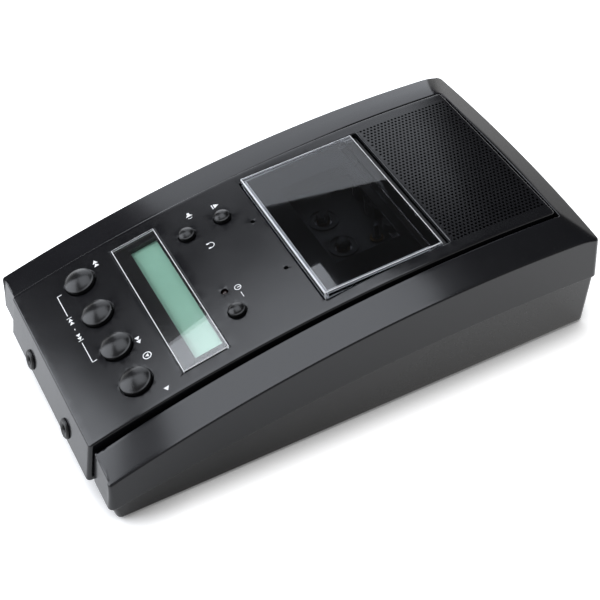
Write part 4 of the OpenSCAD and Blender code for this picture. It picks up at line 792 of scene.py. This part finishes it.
def lower_housing_parts(radius):
    """The lower housing: an outline with round corners that grows with height, carried from a rounded foot
    to the parting line, and its floor. A point is x = side * (half(z) - corner) + corner * nx + fixed x,
    and y the like between front and back, with half(z) = BASE_HALF - (BASE_TOP_Z - z) tan(BASE_DRAFT)."""
    turn = quarter(9)
    end_x, side_y = (np.linspace(-reach, reach, count) for reach, count in zip(BASE_STRAIGHT, (27, 41)))
    rows = []
    for sign in (1, -1):
        near, far = turn - sign * math.pi / 2, turn + (1 - sign) * math.pi / 2
        rows += [columns(sign, np.cos(near), 0, -sign, np.sin(near), 0),
                 columns(sign, sign, 0, 0, 0, sign * side_y),
                 columns(sign, np.cos(far), 0, sign, np.sin(far), 0),
                 columns(0, 0, -sign * end_x, sign, sign, 0)]
    side, nx, fixed_x, end, ny, fixed_y = np.concatenate(rows).T[..., None]
    nominal_y = np.where(end == 0, fixed_y, np.where(end > 0, BASE_TOP_BACK, BASE_TOP_FRONT))
    top = arc_z(PARTING_ARC, nominal_y) + BASE_TUCK
    t, share = quarter(6), np.linspace(0, 1, 12)[1:]
    foot = BASE_LOW + radius * (1 - np.cos(t))
    foot_rows = np.broadcast_to(foot, (len(top), len(foot)))
    z = np.concatenate([foot_rows, foot[-1] + (top - foot[-1]) * share, top], 1)
    inset = np.concatenate([radius * (1 - np.sin(t)), 0 * share, [WALL]])
    half = BASE_HALF - (BASE_TOP_Z - z) * math.tan(BASE_DRAFT)
    x = side * (half - BASE_CORNER) + nx * BASE_CORNER + fixed_x
    front = BASE_FRONT + (CASE_REF_Z - z) * math.tan(BASE_LEAN)
    back = base_back_y(x, z)
    y = np.where(end < 0, front + BASE_CORNER, np.where(end > 0, back - BASE_CORNER, fixed_y))
    y = y + ny * BASE_CORNER
    grid = np.stack([x - nx * inset, y - ny * inset, z], -1)
    in_columns = np.where((end > 0) & (side == 0) & (np.abs(fixed_x - INLET_AT[0]) < INLET_PATCH[0]))[0]
    in_rows = np.where(np.abs(grid[in_columns[0], :-1, 2] - INLET_AT[1]) < INLET_PATCH[1])[0]
    walls = surface(grid, wrap=True, edge=np.repeat([1.0, 0.0], [len(foot), len(share) + 1]))
    patch = border_of(grid[np.ix_(in_columns, in_rows)])
    parts = [without_patch(walls, grid.shape[1], in_columns, in_rows)] + inlet_parts(patch[::-1, [0, 2]])
    recesses = [at + circle(40) * RECESS_R for at in BASE_SCREWS]
    plan, tris = fill([grid[:, 0, :2]] + recesses)
    parts.append(sheet(lift(plan, BASE_LOW), tris[:, ::-1]))
    return parts + [tube(lift(recess, BASE_LOW), [0, 0, RECESS_DEEP], flip=True) for recess in recesses]


def inlet_parts(border):
    """The lower housing's back wall between a border and the inlet's hole, and the hole's wall."""
    inlet = INLET_AT + circle(40) * INLET_HOLE
    plan, tris = fill([border, inlet])
    back, rim = (columns(p[:, 0], base_back_y(*p.T), p[:, 1]) for p in (plan, inlet))
    return [sheet(back, tris[:, ::-1]), tube(rim, [0, -WALL, 0], flip=True)]


def grille_centres(pitch):
    """Centres of the loudspeaker's holes: columns along the case, every second one half a pitch on."""
    cx, cy, hx, hy = GRILLE
    i, j = np.meshgrid(*(np.arange(-n, n + 1) for n in GRILLE_REACH), indexing="ij")
    x = cx + i * pitch * GRILLE_STRETCH
    y = cy + (j + 0.5 * (i % 2)) * pitch
    keep = (np.abs(y - cy) <= hy - GRILLE_MARGIN) & (np.abs(x - cx) <= hx)
    return columns(x[keep], y[keep])


def loose_points(round_holes):
    """Plan points spread over the panel's top, clear of its holes."""
    x, y = np.meshgrid(np.arange(*LOOSE_X, LOOSE_STEP), np.arange(*LOOSE_Y, LOOSE_STEP))
    clear = np.ones(x.shape, bool)
    for (cx, cy), hole, *_ in round_holes:
        clear &= np.hypot(x - cx, y - cy) > hole + LOOSE_CLEAR
    for cx, cy, hx, hy in (WINDOW, DOOR_OPENING, GRILLE):
        clear &= (np.abs(x - cx) > hx + LOOSE_CLEAR) | (np.abs(y - cy) > hy + LOOSE_CLEAR)
    return columns(x[clear], y[clear])


def control_panel_parts(sizes):
    """The control panel: its arched top filled between outline and holes, a rounded rim in each hole, the
    loudspeaker's perforation, and a rounded rim with skirts carried round the outline."""
    r = sizes.panel_round / MM
    middle, half = (PANEL_FRONT + PANEL_BACK) / 2, (PANEL_BACK - PANEL_FRONT) / 2
    outline, normal = rounded_rect(0.0, middle, PANEL_HALF, half, PANEL_CORNER)
    # Each round hole's place, radius, number of sides and the radius of its rim
    round_holes = [(at, KEY_R + KEY_GAP, 56, 0.45) for at in KEYS.values()]
    round_holes += [(at, BUTTON_R + KEY_GAP, 40, 0.35) for at in BUTTONS.values()]
    round_holes += [(LAMP_AT, LAMP_HOLE, 24, 0.2)] + [(at, MIC_HOLE, 18, 0.15) for at in MICS_AT]
    holes = [(*circle_outline(at, hole, count), rim, panel_tilt(at[1]))
             for at, hole, count, rim in round_holes]
    holes += [(*rounded_rect(*WINDOW, WINDOW_CORNER), 0.4, panel_tilt(WINDOW[1])),
              (*rounded_rect(*DOOR_OPENING, DOOR_CORNER), 0.5, 0.0)]
    centres = grille_centres(sizes.grille_pitch / MM)
    perforation = centres[:, None] + circle(GRILLE_SIDES) * sizes.grille_hole / MM
    loops = [outline - normal * r, *(around + out * rim for around, out, rim, _ in holes), *perforation]
    plan, tris = fill(loops, [loose_points(round_holes)])
    parts = [sheet(on_panel(plan), tris)] + [hole_rim(*hole) for hole in holes]
    walls = on_panel(np.stack([perforation, perforation], 2), [0.0, GRILLE_DEEP])
    starts = np.arange(len(centres)) * 2 * GRILLE_SIDES
    quads = grid_faces(GRILLE_SIDES, 2, wrap=True) + starts[:, None, None]
    parts.append(sheet(walls.reshape(-1, 3), quads.reshape(-1, 4)))
    return parts + panel_skirt_parts(outline, normal, r)


def panel_skirt_parts(outline, normal, r):
    """The panel's rounded rim, its skirt, which is deep and leans out at the front, and the front face."""
    t = quarter(6)
    rim = on_panel(offset(outline, normal, r * (np.sin(t) - 1)), r * (1 - np.cos(t)))
    lean = np.clip((LEAN_FROM - outline[:, 1:]) / LEAN_RUN, 0, 1)
    edge_z = arc_z(PANEL_ARC, outline[:, 1:])
    deep = np.where(outline[:, 1:] < LEAN_FROM, edge_z - PANEL_FOOT_Z, PANEL_SKIRT)
    drop = r + (deep - r) * np.linspace(0, 1, 7)[1:]
    skirt_x = np.broadcast_to(outline[:, :1], drop.shape)
    skirt = np.stack([skirt_x, outline[:, 1:] - lean * (drop - r) * FRONT_SLOPE, edge_z - drop], -1)
    inside = skirt[:, -1:] - WALL * lift(normal, 0.0)[:, None]
    grid = np.concatenate([rim, skirt, inside], 1)
    smooth = len(t)
    marks = np.repeat([1.0, 0.0], [smooth, grid.shape[1] - smooth])
    walls = surface(grid, wrap=True, flip=True, edge=marks)
    front = np.where(normal[:, 1] < -0.9999)[0]
    front = front[np.argsort(outline[front, 0])]
    face_rows = np.arange(smooth - 1, grid.shape[1] - 1)
    patch = border_of(grid[np.ix_(front, face_rows[::-1])])
    return [without_patch(walls, grid.shape[1], front, face_rows)] + front_face_parts(patch)


def front_face_parts(border):
    """The flat front face as one sheet between its border and the two socket holes, with the holes' walls.
    It lies in the border's plane, so it closes with what surrounds it."""
    origin, across, up, out = front_frame(0.0, 0.0)
    origin = origin + out * ((border - origin) @ out).mean()
    holes = [circle(40) * JACK_R + [x, JACK_RISE] for x in JACKS.values()]
    plan, tris = fill([columns((border - origin) @ across, (border - origin) @ up)] + holes)
    face, *rims = (origin + p[:, :1] * across + p[:, 1:] * up for p in (plan, *holes))
    return [sheet(face, tris)] + [tube(rim, -out * WALL) for rim in rims]


def key_profile(radius, rim, crown, rounding, y):
    """Profile of a domed key at y: a sphere's cap, a rounded edge, the side, the flange and the stem to its
    switch. With each radius and height comes the edge value."""
    ball = (radius * radius + crown * crown) / (2 * crown)
    cap = np.linspace(0, 1, 14) * math.asin((radius - rounding) / ball)
    dome = columns(ball * np.sin(cap), rim + crown - ball * (1 - np.cos(cap)))
    start = math.pi / 2 - cap[-1]
    edge = dome[-1] + rounding * (ring_of(np.linspace(start, 0, 7)[1:]) - ring_of(start))
    edge[:, 0] *= radius / edge[-1, 0]
    arch = (y - WINDOW[1]) ** 2 / (2 * PANEL_ARC[2])
    stem = SWITCH_HIGH + KEY_TRAVEL + SWITCH_GAP + arch - BOARD_DROP
    flange = radius + FLANGE_OUT
    side = [(radius, SIDE_TOP), (radius, FLANGE_TOP), (flange, FLANGE_TOP), (flange, FLANGE_LOW),
            (STEM_R, FLANGE_LOW), (STEM_R, stem), (0, stem)]
    return np.concatenate([dome, edge, side]), np.repeat([0.0, 0.5, 0.0], [len(dome), len(edge), len(side)])


def socket_profile():
    """Profile of a socket: its bore, a rounded collar on the face and the neck behind it."""
    lip = [JACK_COLLAR - COLLAR_ROUND, COLLAR_LIFT] + COLLAR_ROUND * ring_of(quarter(7)[::-1])
    bore = [(0, -JACK_DEEP), (JACK_BORE, -JACK_DEEP), (JACK_BORE, 0.2), (JACK_BORE + 0.5, 0.75)]
    neck, bottom = JACK_R - JACK_PLAY, -JACK_DEEP - JACK_FLOOR
    return np.concatenate([bore, lip, [(neck, COLLAR_LIFT), (neck, bottom), (0, bottom)]])


# Signs

def ink(outline):
    """A flat convex sign on the panel: its outline carried from under the surface to just above it."""
    outline = np.asarray(outline, float)
    low, rise = on_panel(outline, INK_DEEP), [0, 0, INK_DEEP + INK_HIGH]
    k = np.arange(1, len(outline) - 1)
    fan = columns(0, k, k + 1)
    return [tube(low, rise), sheet(low + rise, fan), sheet(low, fan[:, ::-1])]


def bar(x0, y0, x1, y1, width=STROKE):
    """A straight stroke between two places on the panel."""
    start, stop = np.array([x0, y0]), np.array([x1, y1])
    run = unit(stop - start)
    side = np.array([-run[1], run[0]]) * width / 2
    return ink([start - side, stop - side, stop + side, start + side])


def arrows(x, y, size, turn, count=1, step=2.0):
    """Solid triangles in a row that point along a direction given in degrees."""
    corner = size * ring_of(np.radians(turn + np.array([0, 120, 240])))
    return sum((ink(corner + [x + k * step, y]) for k in range(count)), [])


def loop(x, y, radius, start=0.0, stop=360.0, width=0.34):
    """A round stroke, as a chain of short flat pieces from one angle to another."""
    ring = ring_of(np.radians(np.linspace(start, stop, max(6, int(abs(stop - start) / 15)) + 1)))
    near, far = ring * (radius - width / 2) + [x, y], ring * (radius + width / 2) + [x, y]
    return sum((ink([near[k], far[k], far[k + 1], near[k + 1]]) for k in range(len(ring) - 1)), [])


def skip_bracket(left, right, y):
    """A bracket under the first three keys, with the two skip signs in its gaps."""
    size, step, sign_y = 1.15, 1.9, y + 0.15
    parts = arrows(-16.8, sign_y, size, 180, 2, step) + arrows(-7.1, sign_y, size, 0, 2, step)
    for x0, x1 in ((left, -20.0), (-11.4, -10.6), (-2.2, right)):
        parts += bar(x0, y, x1, y)
    for x in (left, right):
        parts += bar(x, y + STROKE / 2, x, y + 2.0)
    for x in (-18.4, -3.7):
        parts += bar(x, sign_y - size, x, sign_y + size)
    return parts


def loudspeaker_sign(x, y):
    """A small box, a horn and a wave."""
    horn = ink([(x, y - 0.6), (x + 1.2, y - 1.6), (x + 1.2, y + 1.6), (x, y + 0.6)])
    return bar(x - 1.1, y, x - 0.1, y, 1.1) + horn + loop(x + 1.4, y, 1.2, -50, 50, 0.3)


def headphone_sign(x, y):
    """A bow with two ear pieces."""
    ears = [bar(x + side, y - 1.5, x + side, y - 0.3, 0.75) for side in (-1.4, 1.4)]
    return loop(x, y, 1.5, -30, 210) + ears[0] + ears[1]


def symbol_parts():
    """The panel's printed signs: wind, stop and play, skip, eject, loudspeaker, headphone and power."""
    parts = arrows(-39.9, -74.5, 1.3, 180, 2) + arrows(11.6, -75.2, 1.3, 0, 2)
    parts += loop(22.6, -75.2, 1.7, width=0.42) + arrows(22.6, -75.1, 1.0, 270)
    parts += arrows(43.0, -75.0, 1.4, 0)
    parts += skip_bracket(-33.0, 10.3, -95.2)
    parts += arrows(-35.6, -17.6, 1.5, 90) + bar(-36.9, -19.1, -34.3, -19.1, 0.5)
    parts += loudspeaker_sign(-38.1, -29.7) + headphone_sign(-15.2, -29.0)
    parts += loop(13.9, -29.6, 1.35) + bar(13.9, -29.9, 13.9, -28.4, 0.36)
    parts += bar(17.0, -29.6, 20.2, -29.6, 0.3)
    return parts


# Stage

def seen_by(tree):
    """One for a ray from the camera, from a glossy surface or through a clear part, else nought."""
    path = add(tree, "ShaderNodeLightPath").outputs
    seen = combine(tree, "MAXIMUM", path["Is Camera Ray"], path["Is Glossy Ray"])
    return combine(tree, "MAXIMUM", seen, path["Is Transmission Ray"]), path["Is Camera Ray"]


def make_floor(glow):
    """A flat sheet, white to the camera, with a painted shadow close to the part, where its glow fades with
    ambient occlusion, and a painted reflection that is paler to the back in gloss.
    """
    u, v = np.meshgrid(*[np.linspace(-FLOOR_HALF, FLOOR_HALF, 9)] * 2, indexing="ij")
    mesh = bpy.data.meshes.new("floor")
    mesh.from_pydata(columns(u.ravel(), v.ravel(), 0).tolist(), [], grid_faces(9, 9).tolist())
    floor = bpy.data.objects.new("floor", mesh)
    bpy.context.scene.collection.objects.link(floor)
    material, tree, shader, where = new_finish("pale_floor")
    wire(tree, shader, {"Base Color": (0.88, 0.88, 0.88, 1), "Roughness": 0.9, "Specular IOR Level": 0.0})
    # ambient occlusion dims the glow beside the part: a painted contact shadow
    near = add(tree, "ShaderNodeAmbientOcclusion", {"Distance": 0.018}, samples=12).outputs["AO"]
    along = add(tree, "ShaderNodeSeparateXYZ", {0: where}).outputs["Y"]
    seen, camera = seen_by(tree)
    # glossy and clear rays see a glow that rises to the back: a painted reflection
    painted_reflection_ramp = spread(tree, along, 0.19 * glow, 0.8 * glow, -0.06, 0.14)
    glow_with_painted_shadow = spread(tree, near, 0.1 * glow, glow, 0.35, 0.9)
    strength = combine(tree, "MULTIPLY", blend(tree, camera, painted_reflection_ramp, glow_with_painted_shadow), seen)
    glowing = add(tree, "ShaderNodeEmission", {"Strength": strength})
    both = add(tree, "ShaderNodeAddShader", {0: shader.outputs[0], 1: glowing.outputs[0]})
    wire(tree, tree.nodes["Material Output"], {"Surface": both.outputs[0]})
    mesh.materials.append(material)


def make_light(name, at, aim, size, power):
    """A rectangular softbox at a place, aimed at a point."""
    data = bpy.data.lights.new(name, "AREA")
    data.shape = "RECTANGLE"
    data.size, data.size_y = size
    data.energy = power
    data.color = LIGHT_COLOUR
    light = bpy.data.objects.new(name, data)
    light.location = at
    light.rotation_euler = (Vector(aim) - Vector(at)).to_track_quat("-Z", "Y").to_euler()
    bpy.context.scene.collection.objects.link(light)


def make_room(strength):
    """A dim room, brighter on the camera's side, with white near the horizon as background."""
    world = bpy.data.worlds.new("room")
    bpy.context.scene.world = world
    world.use_nodes = True
    tree = world.node_tree
    way = add(tree, "ShaderNodeTexCoord").outputs["Generated"]
    facing = add(tree, "ShaderNodeVectorMath", {0: way, 1: (0.72, -0.55, 0.42)}, operation="DOT_PRODUCT")
    room = spread(tree, facing.outputs["Value"], 0.06, strength, -0.2, 0.8)
    horizon = spread(tree, add(tree, "ShaderNodeSeparateXYZ", {0: way}).outputs["Z"], 1.0, 0.0, 0.1, 0.22)
    seen, camera = seen_by(tree)
    white = combine(tree, "MAXIMUM", combine(tree, "MULTIPLY", horizon, seen), camera)
    wire(tree, tree.nodes["Background"], {"Color": (1, 1, 1, 1), "Strength": blend(tree, white, room, 1.0)})


def make_camera():
    """The camera at the photograph's place, 45 degrees down from the right and a little from the front."""
    data = bpy.data.cameras.new("camera")
    data.lens = CAMERA_LENS
    data.shift_x, data.shift_y = CAMERA_SHIFT
    camera = bpy.data.objects.new("camera", data)
    turn = Matrix((CAMERA_RIGHT, -CAMERA_DOWN, -CAMERA_AHEAD)).transposed().to_4x4()
    camera.matrix_world = Matrix.Translation(CAMERA_AT) @ turn
    bpy.context.scene.collection.objects.link(camera)
    bpy.context.scene.camera = camera


# Operators

class DictationOperator:
    """Common ground of the operators"""
    bl_options = {"REGISTER", "UNDO"}


class DICTATION_OT_stage(DictationOperator, bpy.types.Operator):
    """Floor, soft studio light and the camera"""
    bl_idname = "dictation.stage"
    bl_label = "Stage"

    def execute(self, context):
        stage = context.scene.dictation_stage
        make_floor(stage.floor_glow)
        for name, setting, at, aim, size in SOFTBOXES:
            make_light(name, at, aim, size, getattr(stage, setting))
        make_room(stage.room_light)
        make_camera()
        return {"FINISHED"}


class DICTATION_OT_upper_case(DictationOperator, bpy.types.Operator):
    """Upper case with its two shoulders and the back bridge"""
    bl_idname = "dictation.upper_case"
    bl_label = "Upper case"

    def execute(self, context):
        parts = upper_case_parts(context.scene.dictation_sizes.shoulder_round / MM)
        piece("upper_case_moulding", parts, finish("case"), ("upper_case",))
        return {"FINISHED"}


class DICTATION_OT_lower_housing(DictationOperator, bpy.types.Operator):
    """Lower housing with its round corners, the inlet's hole and the screws' recesses"""
    bl_idname = "dictation.lower_housing"
    bl_label = "Lower housing"

    def execute(self, context):
        parts = lower_housing_parts(context.scene.dictation_sizes.shoulder_round / MM)
        piece("lower_housing_moulding", parts, finish("base"), ("lower_housing",))
        return {"FINISHED"}


class DICTATION_OT_control_panel(DictationOperator, bpy.types.Operator):
    """Arched control panel with its holes, rims and perforated loudspeaker field"""
    bl_idname = "dictation.control_panel"
    bl_label = "Control panel"

    def execute(self, context):
        parts = control_panel_parts(context.scene.dictation_sizes)
        nodes = ("control_panel", "speaker_grille")
        piece("control_panel_moulding", parts, finish("panel"), nodes)
        return {"FINISHED"}


class DICTATION_OT_keys(DictationOperator, bpy.types.Operator):
    """Four large domed keys and three small domed buttons"""
    bl_idname = "dictation.keys"
    bl_label = "Keys and buttons"

    def execute(self, context):
        sizes = context.scene.dictation_sizes
        key = (KEY_R, KEY_RIM, sizes.key_crown / MM, sizes.key_round / MM)
        button = (BUTTON_R, BUTTON_RIM, BUTTON_CROWN, BUTTON_ROUND)
        for group, form, count in ((KEYS, key, 72), (BUTTONS, button, 48)):
            for name, at in group.items():
                profile, marks = key_profile(*form, at[1])
                cap = lathe(profile, panel_frame(at), marks, count)
                piece(name + "_cap", [cap], finish("key"), (name,), body=name)
        return {"FINISHED"}


class DICTATION_OT_sockets(DictationOperator, bpy.types.Operator):
    """Two round sockets in the front face and the pilot light"""
    bl_idname = "dictation.sockets"
    bl_label = "Sockets and pilot light"

    def execute(self, context):
        for name, x in JACKS.items():
            part = lathe(socket_profile(), front_frame(x, JACK_RISE), count=40)
            piece(name + "_collar", [part], finish("black"), (name,), outward=True)
        dome = lathe(LAMP_DOME, panel_frame(LAMP_AT), count=24)
        piece("power_led_dome", [dome], finish("lamp"), ("power_led",), outward=True)
        return {"FINISHED"}


class DICTATION_OT_symbols(DictationOperator, bpy.types.Operator):
    """Printed signs beside the keys and buttons"""
    bl_idname = "dictation.symbols"
    bl_label = "Printed signs"

    def execute(self, context):
        piece("panel_signs", symbol_parts(), finish("print"), outward=True)
        return {"FINISHED"}


class DICTATION_OT_copies(DictationOperator, bpy.types.Operator):
    """Solids with their edges rounded: door, display, inlet, feet and the tape deck"""
    bl_idname = "dictation.copies"
    bl_label = "Rounded solids"

    def execute(self, context):
        # the door's and the lens's rounded edges get the pale edge finish, a painted highlight
        rounded_copy("door_cover", "door_cover_acrylic", finish("clear"), 0.45, 3, finish("edge"))
        rounded_copy("lcd_lens", "lcd_lens_acrylic", finish("lens"), 0.35, 3, finish("edge"))
        rounded_copy("cassette_carrier", "cassette_carrier_moulding", finish("gloss"), 0.25, sink=0.08)
        rounded_copy("lcd_bezel", "lcd_bezel_moulding", finish("gloss"), 0.25, sink=0.06)
        for node, width in PLAIN_COPIES.items():
            rounded_copy(node, node + "_finished", finish_of(node), width)
        return {"FINISHED"}


class DICTATION_OT_inside(DictationOperator, bpy.types.Operator):
    """Finishes of the solids that show as they are"""
    bl_idname = "dictation.inside"
    bl_label = "Inner parts"

    def execute(self, context):
        for node, obj in frame["nodes"].items():
            if not obj.hide_render:
                obj.data.materials.clear()
                obj.data.materials.append(finish_of(node))
        return {"FINISHED"}


class DICTATION_PT_sidebar(bpy.types.Panel):
    """Lists the pieces and their settings"""
    bl_idname = "DICTATION_PT_sidebar"
    bl_label = "Dictation machine"
    bl_space_type = "VIEW_3D"
    bl_region_type = "UI"
    bl_category = "Dictation"

    def draw(self, context):
        for kind in STEPS:
            self.layout.operator(kind.bl_idname)
        for name, kind in GROUPS.items():
            for setting in kind.__annotations__:
                self.layout.prop(getattr(context.scene, name), setting)


GROUPS = {"dictation_sizes": DictationSizes, "dictation_finishes": DictationFinishes,
          "dictation_stage": DictationStage}
STEPS = (DICTATION_OT_stage, DICTATION_OT_upper_case, DICTATION_OT_lower_housing,
         DICTATION_OT_control_panel, DICTATION_OT_keys, DICTATION_OT_sockets, DICTATION_OT_symbols,
         DICTATION_OT_copies, DICTATION_OT_inside)
CLASSES = (*GROUPS.values(), *STEPS, DICTATION_PT_sidebar)


def register():
    """Registers the settings, operators and panel."""
    for kind in CLASSES:
        bpy.utils.register_class(kind)
    for name, kind in GROUPS.items():
        setattr(bpy.types.Scene, name, PointerProperty(type=kind))


def unregister():
    """Removes what register added."""
    for name in GROUPS:
        delattr(bpy.types.Scene, name)
    for kind in reversed(CLASSES):
        bpy.utils.unregister_class(kind)


def main():
    """Builds the machine and its stage."""
    register()
    bpy.context.scene.view_settings.view_transform = "Standard"
    for kind in STEPS:
        group, name = kind.bl_idname.split(".")
        getattr(getattr(bpy.ops, group), name)()


if __name__ == "__main__":
    main()
